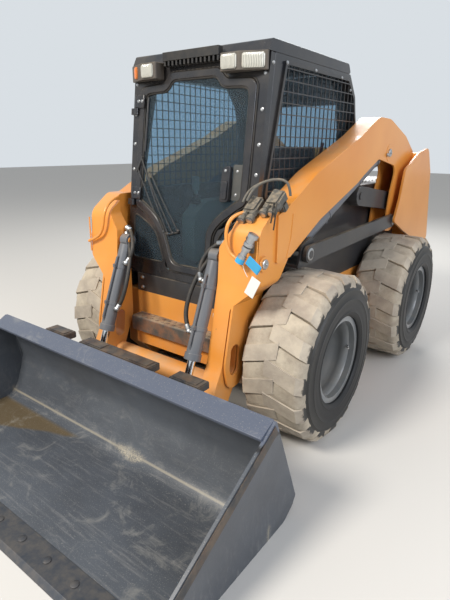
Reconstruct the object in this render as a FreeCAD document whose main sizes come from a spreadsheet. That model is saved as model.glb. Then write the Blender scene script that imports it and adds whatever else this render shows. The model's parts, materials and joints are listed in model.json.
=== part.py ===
import FreeCAD, Part
import Sketcher
import math
import os
import re

# Skid steer loader with cab, vertical-lift arms and a wide bucket, in millimetres.
# +X is the machine's left, the bucket points along -Y, +Z is up. All pieces are modelled with
# Y = 0 on the front axle, and every piece's placement then moves it by "origin_y", so that
# the origin lies on the ground at the middle of the whole machine.

V = FreeCAD.Vector
doc = FreeCAD.newDocument("skid_steer_loader")
sheet = doc.addObject("Spreadsheet::Sheet", "Sizes")

SIZES = {
    # wheels and axles
    "wheel_radius": 458, "wheelbase": 1377, "tyre_gap": 40, "tyre_inner_x": "=case_outer + tyre_gap",
    "tyre_width": 350, "carcass_radius": 428, "sidewall_radius": 392, "shoulder": 30,
    "rim_radius": 222, "rim_wall": 12, "rim_flange": 18, "rim_inset": 24,
    "disc_x": "=tyre_inner_x + 112", "disc_thick": 14, "hub_radius": 105, "hub_depth": 60,
    "axle_radius": 85, "axle_gap": 0.3, "lug_pairs": 16, "lug_width": 84, "lug_skew": 60,
    "lug_overlap": 30,
    # chassis
    "case_outer": "=wall_outer", "case_wall": 130, "belly_z": 230, "belly_thick": 16, "case_top": 700,
    "case_front": 300, "case_rear": 1800, "wall_outer": "=cab_half + 12", "wall_thick": 11.7,
    "wall_top": 1240, "wall_lean": 150, "rear_end": 2200,
    "nose_half": "=case_outer - 115", "nose_depth": 16, "nose_top": 806, "nose_split": 700,
    "step_top": 566, "step_low": 478, "step_front": 400, "step_half": 318, "step_thick": 8,
    "beam_low": 385, "beam_front": 365,
    # towers
    "tower_outer": "=low_link_inner + low_link_thick + 28", "tower_thick": 15, "pillar_front": 1862,
    # pivots of the lift linkage
    "low_pivot_y": 0, "low_pivot_z": 1000, "tail_low_y": 1300, "tail_low_z": 1030,
    "link_pivot_y": 784, "link_pivot_z": 1236, "tail_high_y": 1450, "tail_high_z": 1150,
    "lift_base_y": 30, "lift_base_z": 1045, "hump_pin_y": 1141, "hump_pin_z": 1499,
    "bucket_pin_y": -600, "bucket_pin_z": 220, "tilt_top_y": -398, "tilt_top_z": 1018,
    "tilt_end_y": -672, "tilt_end_z": 330,
    "pin_radius": 22, "pin_gap": 0.5, "rod_gap": 0.3, "seat_gap": 0.3,
    # lift arms
    "arm_gap": 30, "arm_width": 124, "arm_inner": "=cab_half + arm_gap",
    "arm_outer": "=arm_inner + arm_width", "arm_plate": 12, "leg_inner": "=arm_inner - 112",
    "leg_outer": "=leg_inner + 94", "bend_outer": "=arm_outer - 12", "door_room": "=leg_inner + 64",
    "cross_tube": 62,
    "rear_tube_y": 1600, "rear_tube_z": 1470, "front_tube_y": -455, "front_tube_z": 335,
    # links
    "low_link_inner": "=arm_outer + 6", "low_link_thick": 24, "low_link_half": 45,
    "high_link_inner": "=arm_inner + 34", "high_link_thick": 58, "high_link_half": 62,
    # lift cylinders
    "lift_x": "=(arm_inner + arm_outer) / 2", "lift_tube": 40, "lift_rod": 25, "lift_eye": 46,
    "lift_eye_half": 34, "lift_barrel": 1085, "lift_tail": 110, "lift_rod_start": 130,
    "lift_pin_half": 45,
    # tilt cylinders
    "tilt_x": "=leg_inner - 44", "tilt_tube": 38, "tilt_rod": 21, "tilt_eye": 36,
    "tilt_eye_half": 28, "tilt_barrel": 528, "tilt_tail": 76, "tilt_rod_start": 142,
    "tilt_rod_eye": 31, "tilt_rod_eye_half": 18, "tilt_pin_half": 23,
    # bucket and coupler
    "bucket_half": 955, "side_thick": 12, "screen_gap": 0.5, "edge_front": 1550, "edge_back": 1420,
    "edge_thick": 20,
    "plate_half": "=leg_outer + 100", "ear_thick": 12,
    # cab
    "cab_half": 448, "frame_depth": 45, "cab_lean": 7.1, "door_foot_y": -300,
    "front_depth": 38, "door_depth": 26, "door_gap": 7, "door_front": -14, "door_border": 44,
    "pane_lap": 12, "hinge_x": "=44 - cab_half",
    "roof_z": 1950, "cab_rear": 900, "glass_thick": 6, "seat_low": 1000, "seat_rear": 720,
    "wire_pitch": 52, "wire_size": 5,
    # rear of the machine
    "tail_half": "=wall_outer - 22", "gate_low": 560, "gate_high": 1262, "gate_depth": 62,
    "bumper_rear": 2350, "bumper_half": "=wall_outer + 100", "bumper_low": 380, "bumper_high": 545,
    "deck_low": 420, "deck_high": 520, "lash_x": "=bumper_half - 90", "lash_radius": 26,
    "hood_z": 1240, "hood_thick": 44, "gate_hinge_x": "=8 - wall_outer", "hinge_radius": 12,
    "hinge_height": 70,
    "slot_pitch": 60, "slot_size": 26,
}


def write_sizes(sizes):
    """Puts each named size in a cell of its own."""
    for alias, value in sizes.items():
        row = write_sizes.row
        sheet.set("A%d" % row, alias)
        sheet.set("B%d" % row, str(value))
        sheet.setAlias("B%d" % row, alias)
        write_sizes.row += 1


write_sizes.row = 1
write_sizes(SIZES)
sheet.recompute()

WORD = re.compile(r"[a-z]\w*")
FUNCTIONS = ("sin", "cos", "tan", "atan", "atan2", "sqrt", "min", "max", "floor")
ORIGIN_Y = "(bumper_rear - edge_front) / 2"


def formula(text):
    """The same text with the sheet's name before every size."""
    return WORD.sub(lambda m: m[0] if m[0] in FUNCTIONS else "Sizes." + m[0], str(text))


def number(text):
    """The value that a formula has now."""
    value = sheet.evalExpression(formula(text))
    return float(getattr(value, "Value", value))


def bind(thing, **sizes):
    for name, text in sizes.items():
        thing.setExpression(name.replace("__", "."), formula(text))


def put(thing, x=0, y=0, z=0, axis=None, angle=0):
    """Places a piece at x, y, z, turned about an axis of the machine."""
    if axis:
        thing.Placement = FreeCAD.Placement(V(0, 0, 0), FreeCAD.Rotation(axis, 1))
        thing.setExpression("Placement.Rotation.Angle", formula(angle))
    bind(thing, Placement__Base__x=x, Placement__Base__y=y, Placement__Base__z=z)
    PLACED_Y[thing.Name] = y
    return thing


PLACED_Y = {}
COPIES = set()
NODES = []


def node(label, thing):
    """Declares a finished piece, and moves it to the machine's own origin."""
    thing.Label = label
    if thing.Name not in COPIES:
        at = PLACED_Y.get(thing.Name, 0)
        bind(thing, Placement__Base__y="(%s) - %s" % (at, ORIGIN_Y))
    NODES.append(thing)
    return thing


def box(x, y, z):
    thing = doc.addObject("Part::Box", "block")
    bind(thing, Length="(%s) - (%s)" % (x[1], x[0]), Width="(%s) - (%s)" % (y[1], y[0]),
         Height="(%s) - (%s)" % (z[1], z[0]))
    return put(thing, x[0], y[0], z[0])


def cross_pin(y, z, x, radius):
    """A round bar along X, centred on y, z."""
    thing = doc.addObject("Part::Cylinder", "pin")
    bind(thing, Radius=radius, Height="(%s) - (%s)" % (x[1], x[0]))
    return put(thing, x[0], y, z, V(0, 1, 0), 90)


def upright(radius, low, high, x=0, y=0):
    """A round bar along Z."""
    thing = doc.addObject("Part::Cylinder", "bar")
    bind(thing, Radius=radius, Height="(%s) - (%s)" % (high, low))
    return put(thing, x, y, low)


def fused(*things):
    thing = doc.addObject("Part::MultiFuse", "joined")
    thing.Shapes = list(things)
    thing.Refine = True
    return thing


def common(*things):
    thing = doc.addObject("Part::MultiCommon", "shared")
    thing.Shapes = list(things)
    return thing


def cut(base, *tools):
    thing = doc.addObject("Part::Cut", "cut")
    thing.Base = base
    thing.Tool = tools[0] if len(tools) == 1 else fused(*tools)
    return thing


def gathered(*things):
    thing = doc.addObject("Part::Compound", "pair")
    thing.Links = list(things)
    return thing


def mirrored(thing):
    """The same piece on the machine's other side."""
    copy = doc.addObject("Part::Mirroring", "mirrored")
    copy.Source = thing
    copy.Normal = V(1, 0, 0)
    COPIES.add(copy.Name)
    return copy


def spun(thing, angle):
    """The same piece again, turned about the X axis."""
    copy = doc.addObject("Part::Compound", "again")
    copy.Links = [thing]
    return put(copy, 0, 0, 0, V(1, 0, 0), angle)


def moved_back(thing, distance):
    """The same piece again, further back."""
    copy = doc.addObject("Part::Compound", "again")
    copy.Links = [thing]
    bind(copy, Placement__Base__y=distance)
    COPIES.add(copy.Name)
    return copy


def corners(points):
    """Start and end of the arc at each corner of an outline, its centre, and its way of turning."""
    found = []
    for i, (u, v, r) in enumerate(points):
        before, after = points[i - 1], points[(i + 1) % len(points)]
        a = V(u - before[0], v - before[1], 0).normalize()
        b = V(after[0] - u, after[1] - v, 0).normalize()
        turn = math.atan2(a.cross(b).z, a.dot(b))
        reach = r * math.tan(abs(turn) / 2)
        way = 1 if turn > 0 else -1
        start = V(u, v, 0) - a * reach
        found.append((start, V(u, v, 0) + b * reach, start + V(-a.y, a.x, 0) * r * way, way))
    return found


PLANES = {"x": "YZ_Plane", "y": "XZ_Plane", "z": "XY_Plane"}


def outline(body, axis, start, points, holes=()):
    """A sketch square to one axis: corner points (across, up, radius) and round holes."""
    plane = [f for f in body.Origin.OriginFeatures if f.Role == PLANES[axis]][0]
    sketch = body.newObject("Sketcher::SketchObject", "outline")
    sketch.AttachmentSupport = (plane, [""])
    sketch.MapMode = "FlatFace"
    way = "-(%s)" if axis == "y" else "%s"
    sketch.setExpression("AttachmentOffset.Base.z", formula(way % start))
    now = [tuple(number(text) for text in point) for point in points]
    bends = corners(now)
    count = len(points)
    lines = [sketch.addGeometry(Part.LineSegment(bends[i][1], bends[(i + 1) % count][0]), False)
             for i in range(count)]
    rules = []
    bound = []

    def rule(text, *parts):
        rules.append(Sketcher.Constraint(*parts, number(text)))
        bound.append((len(rules) - 1, text))

    for i, (across, up, radius) in enumerate(points):
        before, after = lines[i - 1], lines[i]
        if now[i][2] == 0:
            rules.append(Sketcher.Constraint("Coincident", before, 2, after, 1))
            rule(across, "DistanceX", after, 1)
            rule(up, "DistanceY", after, 1)
            continue
        start_at, end_at, centre, turn = bends[i]
        a0 = math.atan2(start_at.y - centre.y, start_at.x - centre.x)
        a1 = math.atan2(end_at.y - centre.y, end_at.x - centre.x)
        if turn < 0:
            a0, a1 = a1, a0
        if a1 < a0:
            a1 += 2 * math.pi
        round_edge = Part.Circle(centre, V(0, 0, 1), now[i][2])
        arc = sketch.addGeometry(Part.ArcOfCircle(round_edge, a0, a1), False)
        corner = sketch.addGeometry(Part.Point(V(now[i][0], now[i][1], 0)), True)
        first, last = (1, 2) if turn > 0 else (2, 1)
        rule(across, "DistanceX", corner, 1)
        rule(up, "DistanceY", corner, 1)
        rules.append(Sketcher.Constraint("PointOnObject", corner, 1, before))
        rules.append(Sketcher.Constraint("PointOnObject", corner, 1, after))
        rules.append(Sketcher.Constraint("Tangent", before, 2, arc, first))
        rules.append(Sketcher.Constraint("Tangent", after, 1, arc, last))
        rule(radius, "Radius", arc)
    for across, up, radius in holes:
        middle = V(number(across), number(up), 0)
        ring = sketch.addGeometry(Part.Circle(middle, V(0, 0, 1), number(radius)), False)
        rule(across, "DistanceX", ring, 3)
        rule(up, "DistanceY", ring, 3)
        rule(radius, "Radius", ring)
    sketch.addConstraint(rules)
    for index, text in bound:
        if not isinstance(text, (int, float)):
            sketch.setExpression("Constraints[%d]" % index, formula(text))
    return sketch


def named(name, points):
    """Keeps an outline's plain numbers in the sheet, and returns the outline with their names."""
    kept = []
    for i, point in enumerate(points, 1):
        row = []
        for column, value in zip(("across", "up", "round"), point):
            if isinstance(value, (int, float)) and value:
                alias = "%s_%s%d" % (name, column, i)
                write_sizes({alias: value})
                value = alias
            row.append(value)
        kept.append(tuple(row))
    sheet.recompute()
    return kept


def prism(axis, low, high, points, holes=()):
    """A plate or block of one outline, from low to high along an axis."""
    body = doc.addObject("PartDesign::Body", "plate")
    start = high if axis == "y" else low
    sketch = outline(body, axis, start, points, holes)
    pad = body.newObject("PartDesign::Pad", "pad")
    pad.Profile = sketch
    bind(pad, Length="(%s) - (%s)" % (high, low))
    return body


def turned(points):
    """A round piece about the X axis: outline of (x, radius, corner radius)."""
    body = doc.addObject("PartDesign::Body", "round")
    sketch = outline(body, "z", 0, points)
    ring = body.newObject("PartDesign::Revolution", "turn")
    ring.Profile = sketch
    ring.ReferenceAxis = (sketch, ["H_Axis"])
    ring.Angle = 360
    return body


def offset(points, gap, ups):
    """An outline of half a door grown by a gap; ups says which way each corner moves up."""
    return [("%s + (%s)" % (x, gap), "%s + (%s) * (%s)" % (z, gap, up), r)
            for (x, z, r), up in zip(points, ups)]


def both_halves(points):
    """The whole outline of a piece that is alike left and right of X = 0."""
    return points + [("-(%s)" % x, z, r) for x, z, r in reversed(points)]


def link(length, half, x, bore):
    """A flat link with round ends and two bores, from its first pin along +Y."""
    end = "%s - 0.1" % half
    round_ends = [("-(%s)" % half, "-(%s)" % half, end),
                  ("%s + %s" % (length, half), "-(%s)" % half, end),
                  ("%s + %s" % (length, half), half, end), ("-(%s)" % half, half, end)]
    return prism("x", x[0], x[1], round_ends, [(0, 0, bore), (length, 0, bore)])




def flats(x, radius):
    """A polygon across the X axis, with one side for every lug of the tyre."""
    thing = doc.addObject("Part::RegularPolygon", "flats")
    bind(thing, Polygon="2 * lug_pairs", Circumradius=radius)
    return put(thing, x, 0, 0, V(0, 1, 0), 90)


# Tyre: a closed ring of rubber, flat under each of its broad slanted lugs. The lugs of its two
# sides stand half a pitch apart, meet past the middle and run out over the shoulders.
tyre_mid = "(2 * tyre_inner_x + tyre_width)"
sections = [("tyre_inner_x", "sidewall_radius"), ("tyre_inner_x + shoulder", "carcass_radius")]
sections += [("%s - (%s)" % (tyre_mid, x), radius) for x, radius in reversed(sections)]
ring = doc.addObject("Part::Loft", "carcass")
ring.Sections = [flats(x, radius) for x, radius in sections]
ring.Solid = True
ring.Ruled = True
tyre_outer_x = "(tyre_inner_x + tyre_width)"
bore_x = ("tyre_inner_x - 1", tyre_outer_x + " + 1")
bead_seat = "rim_radius + rim_flange + 1"
rubber = cut(ring, cross_pin(0, 0, bore_x, "rim_radius + seat_gap"),
             cross_pin(0, 0, (bore_x[0], "tyre_inner_x + rim_inset"), bead_seat),
             cross_pin(0, 0, (tyre_outer_x + " - rim_inset", bore_x[1]), bead_seat))
lug_top = "sqrt(wheel_radius ^ 2 - ((lug_skew + lug_width) / 2) ^ 2)"
lug_foot = "sidewall_radius - 14"
lug_end = ("tyre_inner_x + 2", "tyre_inner_x + tyre_width / 2 + lug_overlap")
lug_plan = [(lug_end[0], "(lug_width + lug_skew) / -2", 0),
            (lug_end[0], "(lug_width - lug_skew) / 2", 0),
            (lug_end[1], "(lug_width + lug_skew) / 2", 0),
            (lug_end[1], "(lug_skew - lug_width) / 2", 0)]
lug_side = [(lug_end[0], lug_foot, 0), (lug_end[0], "carcass_radius - 10", 0),
            ("tyre_inner_x + shoulder", lug_top, 0), (lug_end[1], lug_top, 0),
            (lug_end[1], lug_foot, 0)]


def other_side(points):
    """The same outline, from the tyre's other wall."""
    return [("%s - (%s)" % (tyre_mid, x), v, bend) for x, v, bend in reversed(points)]


lug_reach = ("-lug_width - lug_skew", "lug_width + lug_skew")
near_lug = common(prism("z", lug_foot, lug_top, lug_plan), prism("y", *lug_reach, lug_side))
far_lug = common(prism("z", lug_foot, lug_top, other_side(lug_plan)),
                 prism("y", *lug_reach, other_side(lug_side)))
lugs = []
for n in range(int(number("lug_pairs"))):
    lugs.append(spun(near_lug, "(%d + 0.25) * 360 / lug_pairs" % n))
    lugs.append(spun(far_lug, "(%d + 0.75) * 360 / lug_pairs" % n))
tyre = fused(rubber, *lugs)

# Rim: a welded steel drum with a flange at each bead and a disc near its inboard edge, which is
# bolted to the axle's flange.
flange_radius = "rim_radius + rim_flange"
drum_radius = "rim_radius - rim_wall"
rim_x = ("tyre_inner_x + rim_inset / 2", tyre_outer_x + " - rim_inset / 2")
drum = [(rim_x[0], drum_radius, 0), (rim_x[0], flange_radius, 0),
        ("tyre_inner_x + rim_inset - 2", flange_radius, 0), ("tyre_inner_x + rim_inset - 2",
                                                             "rim_radius", 0),
        (tyre_outer_x + " - rim_inset", "rim_radius", 0), (tyre_outer_x + " - rim_inset", flange_radius,
                                                           0),
        (rim_x[1], flange_radius, 0), (rim_x[1], drum_radius, 0),
        ("disc_x + disc_thick", drum_radius, 0), ("disc_x + disc_thick", "hub_radius / 2", 0),
        ("disc_x", "hub_radius / 2", 0), ("disc_x", drum_radius, 0)]
hub_face = "(disc_x - disc_thick)"
hub = cross_pin(0, 0, (hub_face, hub_face + " + hub_depth"), "hub_radius")
rim = fused(turned(drum), hub)

for thing, name in ((rim, "rim"), (tyre, "tyre")):
    put(thing, 0, 0, "wheel_radius")
    left = node(name + "_front_left", thing)
    right = node(name + "_front_right", mirrored(left))
    node(name + "_rear_left", moved_back(left, "wheelbase"))
    node(name + "_rear_right", moved_back(right, "wheelbase"))

# Chain cases: the closed box of each side of the chassis, with the two axle tubes welded to it.
case_front = "-(case_front)"
profile = [(case_front, "belly_z + 110", 20), ("110 - case_front", "belly_z", 20),
           ("case_rear - 110", "belly_z", 20), ("case_rear", "belly_z + 110", 20),
           ("case_rear", "case_top", 10), (case_front, "case_top", 10)]
axles = [cross_pin(at, "wheel_radius", ("case_outer", hub_face + " - axle_gap"), "axle_radius")
         for at in (0, "wheelbase")]
case = node("chain_case_left", fused(prism("x", "case_outer - case_wall", "case_outer", profile),
                                     *axles))
node("chain_case_right", mirrored(case))
case_in = "(case_outer - case_wall)"
node("belly_pan", box(("-" + case_in, case_in), ("110 - case_front", "case_rear - 110"),
                      ("belly_z", "belly_z + belly_thick")))

# Side walls above the chain cases, with the brackets that carry the links and lift cylinders.
wall_in = "(wall_outer - wall_thick)"
wall = [("-case_front", "case_top", 0), ("rear_end", "case_top", 0), ("rear_end", "wall_top", 20),
        ("-wall_lean", "wall_top", 20), ("-case_front", "nose_top", 20)]
shelf_z = "(low_pivot_z - low_link_half - 22)"
shelf = box(("wall_outer", "arm_outer"), ("lift_base_y - 105", "lift_base_y + 105"),
            (shelf_z, shelf_z + " + 16"))
ear = [("lift_base_y - 105", shelf_z, 0), ("lift_base_y + 105", shelf_z, 0),
       ("lift_base_y + 40", "lift_base_z + 46", 30), ("low_pivot_y - 45", "lift_base_z", 25)]
ears = [prism("x", at, at + " + ear_thick", ear) for at in ("(lift_x - lift_tube - 17)",
                                                            "(arm_outer - ear_thick)")]
base_pin = cross_pin("lift_base_y", "lift_base_z", ("lift_x - lift_tube - 6",
                                                    "arm_outer - ear_thick + 1"),
                     "pin_radius")
low_stub = cross_pin("low_pivot_y", "low_pivot_z",
                     ("arm_outer - 1", "low_link_inner + low_link_thick + 6"), "pin_radius")
boss = cross_pin("link_pivot_y", "link_pivot_z", ("wall_outer - 1", "high_link_inner - 4"),
                 "high_link_half - 10")
stub = cross_pin("link_pivot_y", "link_pivot_z",
                 ("wall_outer", "high_link_inner + high_link_thick + 6"), "pin_radius")
side = fused(prism("x", wall_in, "wall_outer", wall), shelf, *ears, base_pin, low_stub, boss, stub)
node("side_wall_left", side)
node("side_wall_right", mirrored(side))

# Towers: the guard plate outside each arm's tail, and the closed pillar behind it.
tower = named("tower", [(2200, 770, 25), (2030, 1350, 90), (1890, 1535, 80), (1640, 1497, 160),
                        (1365, 1385, 45), (1310, 1180, 60), (1236, 1030, 20), (1470, 936, 60),
                        ("pillar_front", 800, 60)])
pillar = named("pillar", [("pillar_front", 800, 0), (2200, 770, 25), (2030, 1350, 90), (1895, 1515, 40),
                          ("pillar_front", 1485, 0)])
guard = prism("x", "tower_outer - tower_thick", "tower_outer", tower)
post = prism("x", "wall_outer", "tower_outer - tower_thick", pillar)
node("tower_left", fused(guard, post))
node("tower_right", mirrored(NODES[-1]))

# Nose: the plates under the door, the step and the beam below it.
nose_y = "case_front - nose_depth"
nose = ("-case_front - nose_depth", "-case_front")
node("nose_panel", box(("-nose_half", "nose_half"), nose, ("nose_split", "nose_top")))
beam = box(("-step_half", "step_half"), ("-beam_front", "-case_front - nose_depth"),
           ("beam_low", "step_low - 1"))
node("nose_plate", fused(box(("-nose_half", "nose_half"), nose, ("beam_low", "nose_split")), beam))
tread = [("-case_front - nose_depth", "step_top", 0), ("-step_front", "step_top", 10),
         ("-step_front", "step_low", 0), ("step_thick - step_front", "step_low", 0),
         ("step_thick - step_front", "step_top - step_thick", 4),
         ("-case_front - nose_depth", "step_top - step_thick", 0)]
node("step", prism("x", "-step_half", "step_half", tread))

# Engine: one heavy block on the belly pan.
node("engine_block", box((-240, 240), (1020, 1720), ("belly_z + belly_thick", 980)))

# Rear: deck and bumper, hood, the gate that swings to the side, and the lamps beside it.
deck = box(("-" + wall_in, wall_in), ("case_rear", "rear_end"), ("deck_low", "deck_high"))
bumper = [("-bumper_half", "rear_end", 0), ("bumper_half", "rear_end", 0),
          ("bumper_half", "bumper_rear - 60", 30), ("bumper_half - 90", "bumper_rear", 30),
          ("90 - bumper_half", "bumper_rear", 30), ("-bumper_half", "bumper_rear - 60", 30)]
lash = [upright("lash_radius", "bumper_low - 1", "bumper_high + 1", x, "bumper_rear - 60")
        for x in ("lash_x", "-lash_x")]
bumper = cut(prism("z", "bumper_low", "bumper_high", bumper), *lash)
node("hood", box(("-wall_outer", "wall_outer"), ("cab_rear + 8", "rear_end"),
                 ("hood_z", "hood_z + hood_thick")))
gate = both_halves([("tail_half", "gate_low", 30), ("tail_half", "gate_high", 70)])
gate_y = ("rear_end + 1", "rear_end + gate_depth")
gate_pin = ("gate_hinge_x", "rear_end + gate_depth / 2")
slots = [box(("90 - tail_half", "tail_half - 90"), ("rear_end - 1", "rear_end + gate_depth + 1"),
             ("gate_low + 110 + %d * slot_pitch" % n,
              "gate_low + 110 + slot_size + %d * slot_pitch" % n))
         for n in range(8)]
leaf = cut(prism("y", gate_y[0], gate_y[1], gate), gathered(*slots))
gate_rings = []
gate_posts = [box(("-wall_outer", "gate_hinge_x + 8"), ("rear_end", "rear_end + 12"),
                  ("bumper_high", "gate_high - 200"))]
for low in ("gate_low + 60", "gate_high - 200"):
    strap = box(("gate_hinge_x", "1 - tail_half"), ("rear_end + gate_depth / 2 - 6",
                                                    "rear_end + gate_depth / 2 + 6"),
                (low, low + " + hinge_height"))
    ring = fused(upright("hinge_radius", low, low + " + hinge_height", *gate_pin), strap)
    hole = upright("hinge_radius - 5 + seat_gap", low + " - 1", low + " + hinge_height + 1", *gate_pin)
    gate_rings.append(cut(ring, hole))
    foot = (low + " - hinge_height / 2", low + " - 0.5")
    seat = box(("-wall_outer", "gate_hinge_x + 8"), ("rear_end", "rear_end + gate_depth / 2"), foot)
    gate_posts += [seat, upright("hinge_radius", foot[0], foot[1], *gate_pin),
                   upright("hinge_radius - 5", foot[0], low + " + hinge_height", *gate_pin)]
node("rear_bumper", fused(bumper, deck, *gate_posts))
node("tailgate", fused(leaf, *gate_rings))
lamp_line = named("tail_lamp", [(2158, 916, 0), (2175, 921, 5), (2141, 1036, 5), (2124, 1031, 0)])
lamp = prism("x", "wall_outer + 45", "tower_outer - 60", lamp_line)
node("tail_lamps", gathered(lamp, mirrored(lamp)))

# Lift arm: a channel of two side plates closed above, solid box towards the front,
# with a wide bend over the tyre and a narrow leg down to the bucket.
arm = named("arm", [(-200, 1262, 30), (88, 1408, 500), (630, 1596, 120), (900, 1716, 200),
                    (1110, 1712, 260),
                    (1466, 1612, 200), (1692, 1500, 45), (1612, 1075, 85), (1340, 945, 85),
                    (1212, 960, 40),
                    (1262, 1240, 90), (1330, 1405, 60), (960, 1462, 60), (725, 1371, 40),
                    (640, 1330, 90),
                    (151, 1162, 300), (-160, 1011, 20), (-290, 1000, 10), (-290, 1230, 10)])
inside = named("arm_inside", [(370, 1150, 0), (440, 1440, 60), (680, 1592, 60), (905, 1698, 180),
                              (1108, 1694, 240), (1460, 1596, 180), (1672, 1492, 20), (1596, 1085, 40),
                              (1560, 880, 0), (900, 880, 0)])
plates = cut(prism("x", "arm_inner", "arm_outer", arm),
             prism("x", "arm_inner + arm_plate", "arm_outer - arm_plate", inside))
bend_side = named("bend", [(-190, 1264, 30), (-300, 1262, 60), (-428, 1168, 90), (-447, 905, 200),
                           (-530, 500, 300),
                           (-662, 250, 50), (-640, 160, 50), (-548, 165, 50), (-420, 380, 120),
                           (-345, 560, 80),
                           (-345, 700, 20), (-270, 868, 60), (-150, 1013, 20)])
bend_front = named("bend_front", [("leg_inner", 120, 0), ("leg_outer", 120, 0), ("leg_outer", 790, 40),
                                  ("bend_outer", 905, 40), ("bend_outer", 1300, 0),
                                  ("door_room", 1300, 0),
                                  ("door_room", 1165, 30), ("leg_inner", 1075, 30)])
inner_limit = box(("leg_inner - 1", "arm_inner"), (-345, 100), (100, 1300))
bend = cut(common(prism("x", "leg_inner", "bend_outer", bend_side),
                  prism("y", -700, -100, bend_front)), inner_limit)
plate_side = named("leg_plate", [(-300, 950, 30), (-447, 905, 100), (-530, 500, 200), (-500, 360, 60),
                                 (-391, 377, 60), (-334, 555, 100), (-189, 846, 60), (-150, 1000, 20)])
leg_plate = prism("x", "arm_inner - arm_plate", "arm_inner", plate_side)
leg_slot = prism("x", "leg_inner - 1", "arm_outer",
                 named("leg_slot", [(-478, 600, 34), (-408, 600, 34), (-424, 440, 34),
                                    (-494, 440, 34)]))
tilt_pin = cross_pin("tilt_top_y", "tilt_top_z", ("tilt_x - tilt_eye_half - 6", "leg_inner + 1"),
                     "pin_radius")
tilt_boss = cross_pin("tilt_top_y", "tilt_top_z", ("bend_outer - 1", "bend_outer + 12"), 36)
hump_boss = cross_pin("hump_pin_y", "hump_pin_z", ("arm_outer - 1", "arm_outer + 3"), 55)
tail_pin = cross_pin("tail_low_y", "tail_low_z",
                     ("arm_outer - arm_plate", "low_link_inner + low_link_thick + 6"), "pin_radius")
bucket_bore = cross_pin("bucket_pin_y", "bucket_pin_z", ("leg_inner - 5", "arm_outer"),
                        "pin_radius + pin_gap")
arm_left = fused(plates, bend, leg_plate, tilt_pin, tilt_boss, hump_boss, tail_pin)
node("boom_arm_left", cut(arm_left, leg_slot, bucket_bore))
node("boom_arm_right", mirrored(NODES[-1]))
node("boom_front_tube", cross_pin("front_tube_y", "front_tube_z", ("-leg_inner", "leg_inner"),
                                  "cross_tube"))
node("boom_rear_tube", cross_pin("rear_tube_y", "rear_tube_z", ("-arm_inner", "arm_inner"),
                                 "cross_tube"))


def span(start, end):
    """Distance between two pivots, and the rise and reach between them."""
    reach = "(%s_y - %s_y)" % (end, start)
    rise = "(%s_z - %s_z)" % (end, start)
    return "sqrt(%s ^ 2 + %s ^ 2)" % (reach, rise), reach, rise


# Links: the outboard lower link and the inboard upper link of each side.
bore = "pin_radius + pin_gap"
length, reach, rise = span("low_pivot", "tail_low")
low = link(length, "low_link_half", ("0", "low_link_thick"), bore)
put(low, "low_link_inner", "low_pivot_y", "low_pivot_z", V(1, 0, 0), "atan2(%s; %s)" % (rise, reach))
node("lower_link_left", low)
node("lower_link_right", mirrored(low))
length, reach, rise = span("link_pivot", "tail_high")
high = link(length, "high_link_half", ("0", "high_link_thick"), bore)
rider = cross_pin(length, 0, (-14, "high_link_thick + 14"), bore)
high = fused(high, rider)
put(high, "high_link_inner", "link_pivot_y", "link_pivot_z", V(1, 0, 0),
    "atan2(%s; %s)" % (rise, reach))
node("upper_link_left", high)
node("upper_link_right", mirrored(high))


def cylinder(name, start, end, end_eye, end_half):
    """A hydraulic cylinder of each side, from its barrel's pin to its rod's pin."""
    length, reach, rise = span(start, end)
    lean = "atan2(-%s; %s)" % (reach, rise)
    size = {part: "%s_%s" % (name, part) for part in
            ("x", "tube", "rod", "eye", "eye_half", "barrel", "tail", "rod_start", "pin_half")}
    ring = cross_pin(0, 0, ("-" + size["eye_half"], size["eye_half"]), size["eye"])
    gland = upright(size["tube"] + " + 5", size["barrel"] + " - 34", size["barrel"])
    tube = fused(upright(size["tube"], size["eye"] + " - 8", size["barrel"]), gland, ring)
    body = cut(tube, upright(size["rod"] + " + rod_gap", size["tail"], size["barrel"] + " + 1"),
               cross_pin(0, 0, ("-2 * " + size["eye_half"], "2 * " + size["eye_half"]), bore))
    put(body, size["x"], start + "_y", start + "_z", V(1, 0, 0), lean)
    node(name + "_barrel_left", body)
    node(name + "_barrel_right", mirrored(body))
    shaft = fused(upright(size["rod"], size["rod_start"], length + " - 10"),
                  cross_pin(0, length, ("-" + end_half, end_half), end_eye),
                  cross_pin(0, length, ("-" + size["pin_half"], size["pin_half"]), "pin_radius"))
    put(shaft, size["x"], start + "_y", start + "_z", V(1, 0, 0), lean)
    node(name + "_rod_left", shaft)
    node(name + "_rod_right", mirrored(shaft))


cylinder("lift", "lift_base", "hump_pin", "lift_eye", "lift_eye_half")
cylinder("tilt", "tilt_top", "tilt_end", "tilt_rod_eye", "tilt_rod_eye_half")

# Coupler: the leaning plate behind the bucket, with three ears a side for the arm and the tilt rod.
plate = named("coupler", [(-816, 528, 0), (-802, 533, 0), (-668, 152, 0), (-682, 147, 0)])
window = box(("tilt_x - tilt_pin_half - 5", "tilt_x + tilt_pin_half + 5"), (-900, -600), (250, 470))
windows = (window, mirrored(window))
scallop = box(("tilt_x - tilt_tube - 12", "tilt_x + tilt_tube + 12"), (-900, -600), (430, 560))
coupler = cut(prism("x", "-plate_half", "plate_half", plate), *windows, scallop, mirrored(scallop))
hook = named("coupler_ear", [(-772, 420, 0), (-722, 372, 30), (-640, 352, 30), (-548, 225, 46),
                             (-590, 165, 46),
                             (-676, 160, 0)])
ears = []
for at in ("tilt_x - tilt_pin_half - 5 - ear_thick", "tilt_x + tilt_pin_half + 5", "leg_outer + 7"):
    ears.append(prism("x", at, "(%s) + ear_thick" % at, hook))
hinge = cross_pin("bucket_pin_y", "bucket_pin_z", ("tilt_x + tilt_pin_half + 5", "leg_outer + 19"),
                  "pin_radius")
half = fused(*ears, hinge)
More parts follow.
